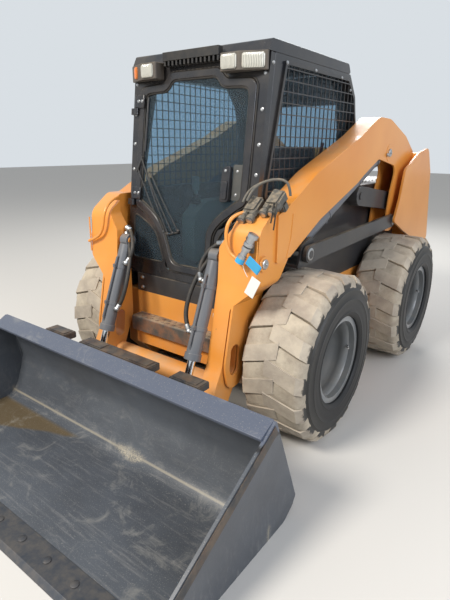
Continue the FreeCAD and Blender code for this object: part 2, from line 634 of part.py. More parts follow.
node("coupler_plate", fused(coupler, half, mirrored(half)))

# Bucket: a rolled shell with a lip band, its mounting plate and ribs, two side plates and a cutting
# edge.
inner_half = "(bucket_half - side_thick)"
rear = prism("x", "-" + inner_half, inner_half,
             named("bucket_shell", [(-838, 553, 0), (-930, 515, 3), (-924, 499, 3), (-866, 508, 30),
                                    (-808, 421, 60),
                                    (-772, 250, 160), (-862, 22, 130), ("-edge_back", 20, 0),
                                    ("-edge_back", 0.001, 0),
                                    (-845, 0.001, 130), (-757, 245, 160), (-795, 425, 60),
                                    (-846, 532, 20)]))
cheek = named("bucket_side", [(-838, 552, 6), (-641, 80, 16), (-668, 40, 40), (-735, 0.001, 60),
                              (-1500, 0.001, 20),
                              (-1530, 60, 30), (-1480, 189, 20)])
left_cheek = prism("x", inner_half, "bucket_half", cheek)
heel = named("bucket_heel", [(-846, 0.001, 0), (-735, 0.001, 60), (-668, 40, 40), (-648, 92, 0),
                             (-660, 97, 0),
                             (-677, 50, 34), (-738, 12, 55), (-846, 12, 0)])
heel_plate = prism("x", "-" + inner_half, inner_half, heel)
mount = named("bucket_mount", [(-848, 546, 0), (-820, 537, 0), (-817, 529, 0), (-683, 147, 0),
                               (-655, 96, 0),
                               (-664, 90, 0), (-695, 142, 0), (-830, 522, 0)])
mount_plate = cut(prism("x", "-plate_half - 4", "plate_half + 4", mount), *windows)
rib = named("bucket_rib", [(-840, 534, 0), (-797, 424, 0), (-762, 250, 0), (-800, 60, 0), (-760, 8, 0),
                           (-672, 55, 0),
                           (-660, 92, 0), (-690, 142, 0), (-826, 530, 0)])
ribs = [prism("x", "(%s) - 5" % at, "(%s) + 5" % at, rib) for at in ("plate_half", "tilt_x - 80",
                                                                     "tilt_x + 80")]
rib_half = fused(*ribs)
node("bucket_shell", fused(rear, heel_plate, mount_plate, rib_half, mirrored(rib_half), left_cheek,
                           mirrored(left_cheek)))
edge = [("-edge_front", 0.001, 0), ("edge_thick - edge_front", "edge_thick", 0),
        ("-edge_back", "edge_thick", 0),
        ("-edge_back", 0.001, 0)]
node("cutting_edge", prism("x", "-" + inner_half, inner_half, edge))

# Cab front: a leaning frame round the doorway, and the door with its pane.
lean_y = "door_foot_y"
frame_top = "(roof_z - nose_top - 1) / cos(cab_lean)"
door = named("door", [(130, 52, 40), (135, 290, 60), (300, 352, 60), (391, 402, 40), (391, 1040, 70),
                      (205, 1048, 40), (168, 1102, 40)])
ups = [-1, -1, -1, -1, 1, 1, 1]
front = both_halves([("cab_half", 0.001, 0), ("cab_half", frame_top, 0)])
doorway = both_halves(offset(door, "door_gap", ups))


def leaning(thing, x=0):
    """Stands a cab front piece on the nose, leaning back with the doorway."""
    return put(thing, x, lean_y, "nose_top", V(1, 0, 0), "-cab_lean")


frame = cut(prism("y", 0.001, "front_depth", front), prism("y", -50, 80, doorway))
door_pin = ("hinge_x", "door_front - 6")
door_rings = []
door_posts = []
for low in ("430", "930"):
    strap = box(("hinge_x", "hinge_x + 60"), ("door_front - 12", "door_front"),
                (low, low + " + hinge_height"))
    ring = fused(upright("hinge_radius", low, low + " + hinge_height", *door_pin), strap)
    hole = upright("hinge_radius - 5 + seat_gap", low + " - 1", low + " + hinge_height + 1", *door_pin)
    door_rings.append(cut(ring, hole))
    foot = (low + " - hinge_height / 2", low + " - 0.5")
    seat = box(("-cab_half + 8", "hinge_x"), ("door_front - 12", "1"), foot)
    door_posts += [seat, upright("hinge_radius", foot[0], foot[1], *door_pin),
                   upright("hinge_radius - 5", foot[0], low + " + hinge_height", *door_pin)]
node("cab_front", leaning(fused(frame, *door_posts)))
pane_line = both_halves(offset(door, "-door_border", ups))
pane_edge = both_halves(offset(door, "pane_lap - door_border", ups))
door_back = "(door_front + door_depth)"
leaf = cut(prism("y", "door_front", door_back, both_halves(door)), prism("y", -60, 60, pane_line))
handle = box((318, 372), ("door_front - 34", "door_front"), (470, 640))
node("cab_door", leaning(fused(leaf, handle, *door_rings)))
node("door_glass", leaning(prism("y", door_back + " + 0.3", door_back + " + 0.3 + glass_thick",
                                 pane_edge)))

# Cab sides: a deep frame each side, cut for the window, with a wire screen bolted outside it.
front_line = "(door_foot_y + (front_depth + 1) / cos(cab_lean) + (%s - nose_top) * tan(cab_lean))"
side_line = [(front_line % "nose_top", "nose_top", 0), ("cab_rear", "nose_top", 0),
             ("cab_rear", 1640, 60),
             (850, 1830, 60), (748, "roof_z - 0.5", 0),
             (front_line % "(roof_z - 0.5)", "roof_z - 0.5", 0)]
window_line = named("window", [(-178, 1292, 25), (858, 1292, 25), (858, 1636, 60), (806, 1812, 60),
                               (712, "roof_z - 42", 30), (-20, "roof_z - 42", 25)])
side_frame = cut(prism("x", "cab_half - frame_depth", "cab_half", side_line),
                 prism("x", "cab_half - 100", "cab_half + 20", window_line))
node("cab_side_left", side_frame)
node("cab_side_right", mirrored(side_frame))
band_outer = named("screen_outer", [(-196, 1276, 25), (876, 1276, 25), (876, 1640, 60), (822, 1822, 60),
                                    (720, "roof_z - 24", 30), (-34, "roof_z - 24", 25)])
screen_x = ("cab_half + screen_gap", "cab_half + screen_gap + 2 * wire_size")
band = cut(prism("x", screen_x[0], screen_x[1], band_outer),
           prism("x", "cab_half - 5", "cab_half + 40", window_line))
wires = []
for n in range(20):
    at = "-160 + %d * wire_pitch" % n
    wires.append(box((screen_x[0], "cab_half + 0.2 + wire_size"), (at, at + " + wire_size"),
                     (1280, 1920)))
cross = []
for n in range(12):
    at = "1318 + %d * wire_pitch" % n
    cross.append(box(("cab_half + 0.8 + wire_size", screen_x[1]), (-200, 870),
                     (at, at + " + wire_size")))
grid = common(gathered(*wires, *cross), prism("x", "cab_half - 5", "cab_half + 40", band_outer))
screen = fused(band, grid)
node("side_screen_left", screen)
node("side_screen_right", mirrored(screen))

# Cab back, windows, roof, floor and lamps.
back_line = named("cab_back", [("cab_rear", 806, 0), ("cab_rear", 1640, 60), (850, 1830, 60),
                               (748, 1948, 0),
                               (700, 1948, 0), (812, 1815, 40), (862, 1634, 60), (862, 806, 0)])
cab_inner = "(cab_half - frame_depth - 0.5)"
back = cut(prism("x", "-" + cab_inner, cab_inner, back_line),
           box((-330, 330), (700, 1000), (1290, 1790)))
node("cab_back", back)
side_pane = prism("x", cab_inner + " - glass_thick", cab_inner, named(
    "side_pane", [(-190, 1282, 25), (850, 1282, 25), (850, 1634, 60), (790, 1815, 60),
                  (690, "roof_z - 32", 30), (-30, "roof_z - 32", 25)]))
back_pane = prism("x", -340, 340, named(
    "back_pane", [(855, 1275, 0), (861.6, 1275, 0), (861.6, 1633, 60), (811, 1814, 0), (804, 1812, 0),
                  (855, 1630, 60)]))
node("cab_windows", gathered(side_pane, mirrored(side_pane), back_pane))
roof_line = named("roof", [(-178, "roof_z", 1.5), (752, "roof_z", 12), (716, "roof_z + 54", 30),
                           (-150, "roof_z + 54", 16)])
roof = prism("x", "-cab_half", "cab_half", roof_line)
node("cab_roof", roof)
louvre_z = ("roof_z - 24", "roof_z - 0.5")
louvre_back = box((-185, 185), (-190, -166), louvre_z)
ribs = [box((x, x + 12), (-212, -186), louvre_z) for x in range(-178, 180, 27)]
louvre_top = box((-185, 185), (-214, -178.5), ("roof_z", "roof_z + 42"))
node("roof_louvre", fused(louvre_back, louvre_top, *ribs))
pod_line = named("pod", [(212, -172, 0), (212, -244, 12), (322, -240, 10), ("cab_half + 2", -184, 8),
                         ("cab_half - 2", -172, 0)])
pod = prism("z", "roof_z - 82", "roof_z - seat_gap", pod_line)
node("lamp_pods", gathered(pod, mirrored(pod)))
node("cab_floor", box(("-" + wall_in, wall_in), ("door_foot_y + front_depth + seat_gap", "cab_rear"),
                      ("nose_top - 22", "nose_top")))

# Seat and the two armrest consoles with their levers.
node("seat_base", box((-190, 190), (350, 800), ("nose_top", "seat_low")))
seat_foot = "seat_low + seat_gap"
cushion = [(250, seat_foot, 30), ("seat_rear", seat_foot, 20), ("seat_rear", 1085, 30), (250, 1110, 40)]
node("seat_cushion", prism("x", -235, 235, named("cushion", cushion)))
rest = [("seat_rear + seat_gap", seat_foot, 20), (800, seat_foot, 20), (850, 1560, 30), (770, 1570, 40)]
node("seat_back", prism("x", -225, 225, named("backrest", rest)))
console = named("console", [(120, "nose_top", 10), (640, "nose_top", 10), (640, 1190, 30),
                            (240, 1190, 40),
                            (120, 1100, 30)])
arm_rest = prism("x", 262, 372, console)
lever = fused(upright(13, 1120, 1300, 317, 200), upright(24, 1262, 1345, 317, 200))
console = fused(arm_rest, lever)
node("consoles", gathered(console, mirrored(console)))
doc.recompute()

for thing in doc.Objects:
    if "Invalid" in thing.State or "Error" in thing.State:
        raise RuntimeError("%s did not rebuild" % thing.Label)
os.makedirs("parts", exist_ok=True)
for piece in NODES:
    if piece.Shape.isNull() or not piece.Shape.isValid():
        raise RuntimeError("%s has no sound shape" % piece.Label)
for piece in NODES:
    piece.Shape.exportStep("parts/%s.step" % piece.Label)
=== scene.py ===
import bmesh
import bpy
import json
import math
import random
from mathutils import Matrix, Vector

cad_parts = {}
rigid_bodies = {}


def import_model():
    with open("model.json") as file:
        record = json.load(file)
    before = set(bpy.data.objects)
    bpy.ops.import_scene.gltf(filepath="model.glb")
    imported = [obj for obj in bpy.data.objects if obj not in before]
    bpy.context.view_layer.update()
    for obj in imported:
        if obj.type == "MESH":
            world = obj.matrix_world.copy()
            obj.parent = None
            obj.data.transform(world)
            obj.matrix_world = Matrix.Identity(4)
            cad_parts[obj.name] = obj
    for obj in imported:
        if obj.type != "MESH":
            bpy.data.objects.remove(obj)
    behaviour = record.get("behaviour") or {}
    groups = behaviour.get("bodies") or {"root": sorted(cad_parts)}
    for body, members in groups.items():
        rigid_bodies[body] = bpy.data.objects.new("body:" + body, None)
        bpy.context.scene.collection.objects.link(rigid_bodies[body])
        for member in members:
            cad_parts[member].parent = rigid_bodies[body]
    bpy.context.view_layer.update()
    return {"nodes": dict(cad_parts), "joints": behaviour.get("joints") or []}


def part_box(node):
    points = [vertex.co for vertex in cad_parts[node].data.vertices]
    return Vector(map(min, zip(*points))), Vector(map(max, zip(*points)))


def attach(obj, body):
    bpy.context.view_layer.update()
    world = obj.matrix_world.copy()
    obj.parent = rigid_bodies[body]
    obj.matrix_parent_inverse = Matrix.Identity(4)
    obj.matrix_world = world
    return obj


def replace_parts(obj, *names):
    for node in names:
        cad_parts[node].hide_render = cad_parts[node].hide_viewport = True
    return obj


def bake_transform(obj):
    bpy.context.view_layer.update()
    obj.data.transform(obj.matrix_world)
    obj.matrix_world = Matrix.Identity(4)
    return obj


for starter in list(bpy.data.objects):
    bpy.data.objects.remove(starter)
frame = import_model()
nodes = frame["nodes"]

# Chassis: folded and welded steel plate, 10 to 15 mm thick, sprayed with orange enamel. The enamel
# is glossy under a film of tan site dust, which lies thickest on level faces and near the ground.
MIX_FACTOR, MIX_A, MIX_B, MIXED = 0, 6, 7, 2
SITE_DUST = "#b3a186"


def linear(colour):
    """An sRGB hex colour as the linear colour that shaders take."""
    parts = [int(colour[i:i + 2], 16) / 255 for i in (1, 3, 5)]
    return [c / 12.92 if c <= 0.04045 else ((c + 0.055) / 1.055) ** 2.4 for c in parts] + [1.0]


def feed(node, inputs):
    """Sets a node's inputs: each takes a value, or is linked to a socket or to another node."""
    for name, value in inputs.items():
        if isinstance(value, bpy.types.Node):
            value = value.outputs[MIXED if value.bl_idname == "ShaderNodeMix" else 0]
        if isinstance(value, bpy.types.NodeSocket):
            node.id_data.links.new(value, node.inputs[name])
        else:
            node.inputs[name].default_value = value


def add(owner, kind, inputs=None, **settings):
    """Adds a shader node to a material or the world, with its settings and inputs."""
    made = owner.node_tree.nodes.new("ShaderNode" + kind)
    for name, value in settings.items():
        setattr(made, name, value)
    feed(made, inputs or {})
    return made


def new_material(name, **shader):
    """A material with its Principled shader, and the machine's own coordinates in metres."""
    material = bpy.data.materials.new(name)
    material.use_nodes = True
    shine = material.node_tree.nodes["Principled BSDF"]
    feed(shine, {socket.replace("_", " "): value for socket, value in shader.items()})
    return material, shine, add(material, "TexCoord").outputs["Object"]


def mottled(material, place, scale, dark, pale, patches=(0.36, 0.64), detail=9.0, roughness=0.7):
    """Two colours that run into each other in cloudy patches."""
    cloud = add(material, "TexNoise", {"Vector": place, "Scale": scale, "Detail": detail, "Roughness": roughness})
    share = add(material, "MapRange", {"Value": cloud, "From Min": patches[0], "From Max": patches[1]})
    return add(material, "Mix", {MIX_FACTOR: share, MIX_A: linear(dark), MIX_B: linear(pale)}, data_type="RGBA")


def grained(material, shine, place, scale, strength, depth, detail, roughness=0.5):
    """Roughens a surface with a fine random grain."""
    grain = add(material, "TexNoise", {"Vector": place, "Scale": scale, "Detail": detail, "Roughness": roughness})
    feed(shine, {"Normal": add(material, "Bump", {"Height": grain, "Strength": strength, "Distance": depth})})


def dusty(material, shine, place, colour, roughness, dust=0.5, splash=0.5, grain=5.0):
    """Lays site dust over a finish: on level faces, and as splashes up to about knee height."""
    normal = add(material, "NewGeometry").outputs["Normal"]
    up = add(material, "SeparateXYZ", {"Vector": normal}).outputs["Z"]
    level = add(material, "MapRange", {"Value": up, "From Min": 0.35, "From Max": 1.0, "To Max": dust})
    height = add(material, "SeparateXYZ", {"Vector": place}).outputs["Z"]
    low = add(material, "MapRange", {"Value": height, "From Min": 0.75, "From Max": 0.05, "To Max": splash})
    cloud = add(material, "TexNoise", {"Vector": place, "Scale": grain, "Detail": 8.0, "Roughness": 0.65})
    patchy = add(material, "MapRange", {"Value": cloud, "From Min": 0.36, "From Max": 0.64})
    film = add(material, "Math", {0: level, 1: low}, operation="ADD")
    thick = add(material, "Math", {0: film, 1: 0.05}, operation="ADD")
    cover = add(material, "Math", {0: thick, 1: patchy}, operation="MULTIPLY", use_clamp=True)
    feed(shine, {
        "Base Color": add(material, "Mix", {MIX_FACTOR: cover, MIX_A: colour, MIX_B: linear(SITE_DUST)},
                          data_type="RGBA"),
        "Roughness": add(material, "MapRange", {"Value": cover, "To Min": roughness, "To Max": 0.85})})


def sprayed_steel(name, colour, faded, roughness, dust=0.35, splash=0.5, chip="#3b3b3c"):
    """Enamel sprayed on steel: slow fading, orange peel, a few chips down to the primer, and dust."""
    material, shine, place = new_material(name, Specular_IOR_Level=0.5, Coat_Weight=0.25, Coat_Roughness=0.12)
    body = mottled(material, place, 1.6, colour, faded, (0.35, 0.65), 3.0, 0.5)
    specks = add(material, "TexNoise", {"Vector": place, "Scale": 45.0, "Detail": 4.0, "Roughness": 0.7})
    chipped = add(material, "MapRange", {"Value": specks, "From Min": 0.735, "From Max": 0.75})
    worn = add(material, "Mix", {MIX_FACTOR: chipped, MIX_A: body, MIX_B: linear(chip)}, data_type="RGBA")
    dusty(material, shine, place, worn, roughness, dust, splash)
    # Orange peel is about 2 mm across; it is drawn 6 mm across so that it shows.
    grained(material, shine, place, 160.0, 0.06, 0.001, 2.0)
    return material


CREASE = math.radians(32)
SEAM_GAP = 0.00002


def finish_node(name, material, edge=0.0015, piece=None):
    """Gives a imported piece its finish, and rounds its hard edges as a grinder and paint leave them."""
    piece = piece or nodes[name]
    piece.data.materials.clear()
    piece.data.materials.append(material)
    if "custom_normal" in piece.data.attributes:
        piece.data.attributes.remove(piece.data.attributes["custom_normal"])
    piece.data.shade_smooth()
    piece.modifiers.new("seams", "WELD").merge_threshold = SEAM_GAP
    if not edge:
        piece.modifiers.new("crisp edges", "EDGE_SPLIT").split_angle = CREASE
        return
    flat = piece.modifiers.new("flat faces", "DECIMATE")
    flat.decimate_type = "DISSOLVE"
    flat.angle_limit = math.radians(0.5)
    bevel = piece.modifiers.new("eased edges", "BEVEL")
    bevel.width = edge
    bevel.segments = 2
    bevel.limit_method = "ANGLE"
    bevel.angle_limit = CREASE
    bevel.use_clamp_overlap = True
    bevel.harden_normals = True


SIDES = ("left", "right")
orange_enamel = sprayed_steel("orange_enamel_on_steel", "#e79b45", "#dd8c34", 0.32)
for name in ("chain_case_left", "chain_case_right", "tower_left", "tower_right", "nose_plate"):
    finish_node(name, orange_enamel)

# Belly pan, nose panel and rear bumper: plate with a black powder coat baked on, satin
# and slightly pebbled, scuffed grey where boots and brush touch it. The side walls, deep in shade
# between the wheels, are drawn in the same black.
black_powder_coat = sprayed_steel("black_powder_coat", "#26272a", "#2e2f33", 0.42, dust=0.4, chip="#6a6a6a")
for name in ("belly_pan", "nose_panel", "rear_bumper", "side_wall_left", "side_wall_right"):
    finish_node(name, black_powder_coat)

# Step and nose fittings: the step is bent tread plate, its paint scrubbed to rust by boots. Rows of
# raised grips are pressed in its top, and a blank white plate is riveted beside it.


def mesh_object(name, mesh, material=None, smooth_below=None):
    """An object from a finished bmesh, shaded smooth all over or up to an angle in degrees."""
    data = bpy.data.meshes.new(name)
    bmesh.ops.recalc_face_normals(mesh, faces=mesh.faces)
    mesh.to_mesh(data)
    mesh.free()
    if material:
        data.materials.append(material)
    data.shade_smooth()
    if smooth_below:
        data.set_sharp_from_angle(angle=math.radians(smooth_below))
    made = bpy.data.objects.new(name, data)
    bpy.context.scene.collection.objects.link(made)
    return made


def mesh_piece(name, mesh, material, body, smooth_below=35):
    """Makes a piece from a finished bmesh, and lets it ride on a body of the machine."""
    piece = mesh_object(name, mesh, material, smooth_below)
    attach(piece, body)
    return piece


def add_box(mesh, low, high, bevel=0.0, turn=None):
    """A block between two corners, with eased edges, perhaps turned about its middle."""
    middle = (Vector(low) + Vector(high)) / 2
    size = Vector(high) - Vector(low)
    matrix = Matrix.Translation(middle) @ (turn or Matrix()).to_4x4() @ Matrix.Diagonal(size).to_4x4()
    made = bmesh.ops.create_cube(mesh, size=1.0, matrix=matrix)
    if bevel:
        edges = list({e for v in made["verts"] for e in v.link_edges})
        bmesh.ops.bevel(mesh, geom=edges, offset=bevel, segments=2, affect="EDGES", clamp_overlap=True)


def bridge(mesh, rings, closed=True):
    """Joins rings of as many vertices with faces, and may close the first and the last ring."""
    for one, two in zip(rings, rings[1:]):
        for n in range(len(one)):
            m = (n + 1) % len(one)
            mesh.faces.new((one[n], one[m], two[m], two[n]))
    if closed:
        mesh.faces.new(rings[0][::-1])
        mesh.faces.new(rings[-1])


def add_ring(mesh, middle, across, other, radius, steps):
    """A ring of vertices round a point, in the plane of two unit directions."""
    angles = (2 * math.pi * n / steps for n in range(steps))
    return [mesh.verts.new(middle + (across * math.cos(t) + other * math.sin(t)) * radius) for t in angles]


def add_turned(mesh, at, direction, profile, steps=24, closed=True):
    """A turned solid: rings of (radius, height) along a direction, closed at both ends or open."""
    across, other, along = Vector(direction).to_track_quat("Z", "Y").to_matrix().col
    bridge(mesh, [add_ring(mesh, Vector(at) + along * height, across, other, radius, steps)
                  for radius, height in profile], closed)


def add_bolt(mesh, at, direction, across=0.018, head=0.009):
    """A hexagon flange bolt: its washer face, and its six-sided head with a chamfered top."""
    radius = across / 2
    add_turned(mesh, at, direction, [(radius * 1.35, -0.001), (radius * 1.35, 0.0015), (radius * 1.1, 0.0022)], 16)
    add_turned(mesh, at, direction, [(radius * 1.1, 0.001), (radius * 1.1, head * 0.85), (radius * 0.92, head)], 6)


step_low, step_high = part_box("step")
rusty_tread, shine, place = new_material("scrubbed_rusty_tread_plate")
rusted = mottled(rusty_tread, place, 14.0, "#4a4846", "#7b5742", (0.42, 0.6))
dusty(rusty_tread, shine, place, rusted, 0.6, dust=0.75, splash=0.2, grain=11.0)
finish_node("step", rusty_tread)
grips = bmesh.new()
GRIP_PITCH, GRIP_ROWS, GRIP_MARGIN = 0.044, 2, 0.03
GRIP = [(0.011, 0), (0.0095, 0.0035), (0.006, 0.0035)]
grip_count = int((step_high.x - step_low.x - 2 * GRIP_MARGIN) / GRIP_PITCH)
for row in range(GRIP_ROWS):
    for n in range(grip_count):
        x = step_low.x + GRIP_MARGIN + (n + 0.5 + 0.5 * (row % 2)) * GRIP_PITCH
        add_turned(grips, (x, step_low.y + 0.024 + row * 0.034, step_high.z - 0.0005), (0, 0, 1), GRIP, 12)
mesh_piece("step_grips", grips, rusty_tread, "chassis")


def dusty_finish(name, colour, roughness, dust=0.5, splash=0.0, grain=5.0, **shader):
    """A plain finish of one colour under site dust."""
    material, shine, place = new_material(name, **shader)
    dusty(material, shine, place, linear(colour), roughness, dust, splash, grain)
    return material


plate_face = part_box("nose_plate")[1].y
enamelled_plate = dusty_finish("white_enamelled_plate", "#dfe2e0", 0.35, splash=0.3, grain=20.0)
blank = bmesh.new()
add_box(blank, (0.235, plate_face - 0.0185, 0.60), (0.295, plate_face - 0.0155, 0.675), 0.001)
mesh_piece("blank_plate", blank, enamelled_plate, "chassis")
zinc_bolts = dusty_finish("zinc_plated_bolts", "#b9bbbd", 0.34, dust=0.3, splash=0.3, grain=60.0, Metallic=1.0)
nose_bolts = bmesh.new()
nose_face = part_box("nose_panel")[0].y
for x in (-0.30, 0.30):
    for z in (0.725, 0.785):
        add_bolt(nose_bolts, (x, nose_face, z), (0, -1, 0))
mesh_piece("nose_bolts", nose_bolts, zinc_bolts, "chassis")

# Engine: one cast and painted block low between the chain cases, dark and oily under the hood. The
# casting's grain is drawn about 5 mm across so that it shows.
oily_iron, shine, place = new_material("oily_painted_cast_iron")
dusty(oily_iron, shine, place, linear("#2b2c2c"), 0.5, dust=0.5, splash=0.3, grain=9.0)
grained(oily_iron, shine, place, 220.0, 0.3, 0.002, 3.0)
finish_node("engine_block", oily_iron, 0.008)

# Rims: rolled and welded steel drums with a pressed disc, sprayed dark grey. Inside the drum the
# paint is still glossy; eight wheel nuts and the axle's cap sit in the middle.
rim_paint = sprayed_steel("grey_rim_enamel", "#6a6e71", "#74787a", 0.3, dust=0.15, splash=0.15, chip="#7f8182")
WHEELS = [(end + "_" + side, 1 if side == "left" else -1) for end in ("front", "rear") for side in SIDES]
NUTS, NUT_CIRCLE, DISC_FACE = 8, 0.135, 0.626
AXLE_CAP = [(0.05, 0), (0.05, 0.012), (0.044, 0.018), (0.02, 0.02)]
# A valve is a brass stem in a rubber foot, through the drum near its outer flange.
VALVE = [(0.007, 0), (0.006, 0.02), (0.004, 0.022), (0.004, 0.035)]
# The drum's inside steps in towards the disc: radius and distance from the machine's middle.
DISH = [(0.2095, 0.834), (0.2095, 0.806), (0.2045, 0.800), (0.1985, 0.782), (0.1985, 0.764), (0.2035, 0.756),
        (0.2035, 0.716), (0.1965, 0.706), (0.1965, 0.668), (0.184, 0.652), (0.168, 0.644), (0.160, 0.6262)]


def wheel_middle(wheel):
    """The middle of a wheel's tyre."""
    low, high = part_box("tyre_" + wheel)
    return (low + high) / 2


for wheel, outward in WHEELS:
    finish_node("rim_" + wheel, rim_paint)
    centre = wheel_middle(wheel)
    disc = DISC_FACE * outward
    nuts = bmesh.new()
    for n in range(NUTS):
        angle = 2 * math.pi * (n + 0.5) / NUTS
        at = (disc, centre.y + NUT_CIRCLE * math.cos(angle), centre.z + NUT_CIRCLE * math.sin(angle))
        add_bolt(nuts, at, (outward, 0, 0), 0.027, 0.02)
    add_turned(nuts, (disc + 0.028 * outward, centre.y, centre.z), (outward, 0, 0), AXLE_CAP, 32)
    add_turned(nuts, (0.80 * outward, centre.y + 0.2, centre.z), (outward * 0.6, -0.8, 0), VALVE, 10)
    mesh_piece("wheel_nuts_" + wheel, nuts, zinc_bolts, "wheel_" + wheel)
    liner = bmesh.new()
    add_turned(liner, (0, centre.y, centre.z), (outward, 0, 0), DISH, 96, False)
    mesh_piece("dish_steps_" + wheel, liner, rim_paint, "wheel_" + wheel)

# Tyres: black natural rubber, moulded with sixteen pairs of slanted lugs. Clay fills the tread and
# dries tan; the side walls stay black with a dusty band, and fine rings are moulded round them.
CAKED_FROM, CAKED_TO = 0.414, 0.424


def tyre_rubber(name, axle_y, axle_z):
    """Rubber whose tread is caked with clay, by its distance from one axle."""
    material, shine, place = new_material(name, Specular_IOR_Level=0.45)
    split = add(material, "SeparateXYZ", {"Vector": place})
    fore = add(material, "Math", {0: split.outputs["Y"], 1: axle_y}, operation="SUBTRACT")
    rise = add(material, "Math", {0: split.outputs["Z"], 1: axle_z}, operation="SUBTRACT")
    flat = add(material, "CombineXYZ", {"X": fore, "Y": rise})
    radius = add(material, "VectorMath", {0: flat}, operation="LENGTH").outputs["Value"]
    lumps = add(material, "TexNoise", {"Vector": place, "Scale": 26.0, "Detail": 8.0, "Roughness": 0.7})
    wavy = add(material, "Math", {0: lumps, 1: 0.05, 2: -0.025}, operation="MULTIPLY_ADD")
    reach = add(material, "Math", {0: radius, 1: wavy}, operation="ADD")
    crown = add(material, "MapRange", {"Value": reach, "From Min": CAKED_FROM, "From Max": CAKED_TO})
    tan = mottled(material, place, 7.0, "#a1978a", "#bdb3a2", (0.38, 0.62), 7.0, 0.6)
    tone = add(material, "TexNoise", {"Vector": place, "Scale": 7.0, "Detail": 7.0, "Roughness": 0.6})
    band = add(material, "MapRange", {"Value": radius, "From Min": 0.30, "From Max": 0.40, "To Max": 0.5})
    smear = add(material, "Math", {0: band, 1: tone}, operation="MULTIPLY")
    wall = add(material, "Mix", {MIX_FACTOR: smear, MIX_A: linear("#17181a"), MIX_B: linear("#55524b")},
               data_type="RGBA")
    feed(shine, {
        "Base Color": add(material, "Mix", {MIX_FACTOR: crown, MIX_A: wall, MIX_B: tan}, data_type="RGBA"),
        "Roughness": add(material, "MapRange", {"Value": crown, "To Min": 0.5, "To Max": 0.92})})
    grained(material, shine, place, 130.0, crown, 0.004, 5.0, 0.7)
    return material


LUG_PAIRS = 16
LUG_SKEW, LUG_WIDTH, LUG_OVERLAP = 0.060, 0.084, 0.030
TREAD_HALF, CLAY_RADIUS, CLAY_LOOSE = 0.175, 0.4475, 0.0022
# Across the tread from its middle, and how far the clay has fallen away from its crown there.
CLAY_ROWS = [(-0.02, 0), (0, 0), (0.022, 0), (0.045, 0), (0.07, 0.0005), (0.095, 0.001), (0.12, 0.002),
             (0.14, 0.004), (0.155, 0.014), (0.166, 0.027), (0.172, 0.045), (0.1745, 0.057)]
# Across the gap between two lugs: the share of its width, and the depth below the clay's crown.
CLAY_GAP = [(-0.10, 0.018), (0.012, 0.018), (0.06, 0.010), (0.10, 0.001), (0.3, 0), (0.5, 0.0015), (0.7, 0),
            (0.97, -0.001), (1.25, 0.006)]
WALL_PROFILE = [(0.2415, -0.004), (0.246, 0.004), (0.262, 0.009), (0.266, 0.0115), (0.270, 0.009), (0.285, 0.0115),
                (0.31, 0.0125), (0.33, 0.012), (0.334, 0.0145), (0.338, 0.0115), (0.355, 0.010), (0.375, 0.0065),
                (0.380, 0.0085), (0.384, 0.0045), (0.392, -0.002)]
clay, shine, place = new_material("dried_clay", Roughness=0.95, Specular_IOR_Level=0.2)
feed(shine, {"Base Color": mottled(clay, place, 9.0, "#9c9284", "#beb4a2")})
grained(clay, shine, place, 110.0, 0.8, 0.004, 6.0, 0.75)
rng = random.Random(7)
lug_pitch = 2 * math.pi / LUG_PAIRS
lug_gap = lug_pitch - LUG_WIDTH / CLAY_RADIUS
for wheel, outward in WHEELS:
    centre = wheel_middle(wheel)
    rubber = tyre_rubber("caked_rubber_" + wheel, centre.y, centre.z)
    finish_node("tyre_" + wheel, rubber, 0.004)
    fill = bmesh.new()
    # Each half of the tread has its own lugs: outboard ones lie half a pitch from inboard ones.
    for half, shift in ((-1, 0.25), (1, 0.75)):
        rows = []
        for across, fallen in CLAY_ROWS:
            run = max(0.0, min(1.0, (across + LUG_OVERLAP) / (TREAD_HALF + LUG_OVERLAP)))
            row = []
            for n in range(LUG_PAIRS):
                edge = (n + shift) * lug_pitch + (LUG_SKEW * (run - 0.5) + LUG_WIDTH / 2) / CLAY_RADIUS
                for share, depth in CLAY_GAP:
                    loose = rng.uniform(-CLAY_LOOSE, CLAY_LOOSE) if 0.1 < share < 0.95 else 0.0
                    radius = CLAY_RADIUS - depth - fallen + loose
                    angle = edge + lug_gap * share
                    row.append(fill.verts.new((centre.x + half * outward * across,
                                               centre.y - radius * math.sin(angle),
                                               centre.z + radius * math.cos(angle))))
            rows.append(row)
        bridge(fill, rows, False)
    mesh_piece("tread_clay_" + wheel, fill, clay, "wheel_" + wheel, 60)
    wall = bmesh.new()
    add_turned(wall, (centre.x + outward * TREAD_HALF, centre.y, centre.z), (outward, 0, 0), WALL_PROFILE, 96, False)
    mesh_piece("tyre_wall_" + wheel, wall, rubber, "wheel_" + wheel, 60)

# Cab: a welded frame of bent steel channel in gloss black enamel, over a flat floor. The front leans
# back by 7 degrees; zinc bolts hold the side screens and the door's frame.
gloss_black = sprayed_steel("gloss_black_enamel", "#191b20", "#202228", 0.24, dust=0.2, splash=0.0, chip="#5c5c5e")
for name in ("cab_side_left", "cab_side_right", "cab_back", "cab_roof", "cab_floor"):
    finish_node(name, gloss_black, 0.003)
CAB_LEAN = math.radians(7.1)
DOOR_FOOT = Vector((0, -0.700, 0.806))
OUT_OF_FRONT = Vector((0, -math.cos(CAB_LEAN), math.sin(CAB_LEAN)))
UP_FRONT = Vector((0, math.sin(CAB_LEAN), math.cos(CAB_LEAN)))


def on_front(x, up, out=0.0):
    """A point of the leaning cab front: across, up along it, and out of it."""
    return Vector((x, 0, 0)) + DOOR_FOOT + UP_FRONT * up + OUT_OF_FRONT * out


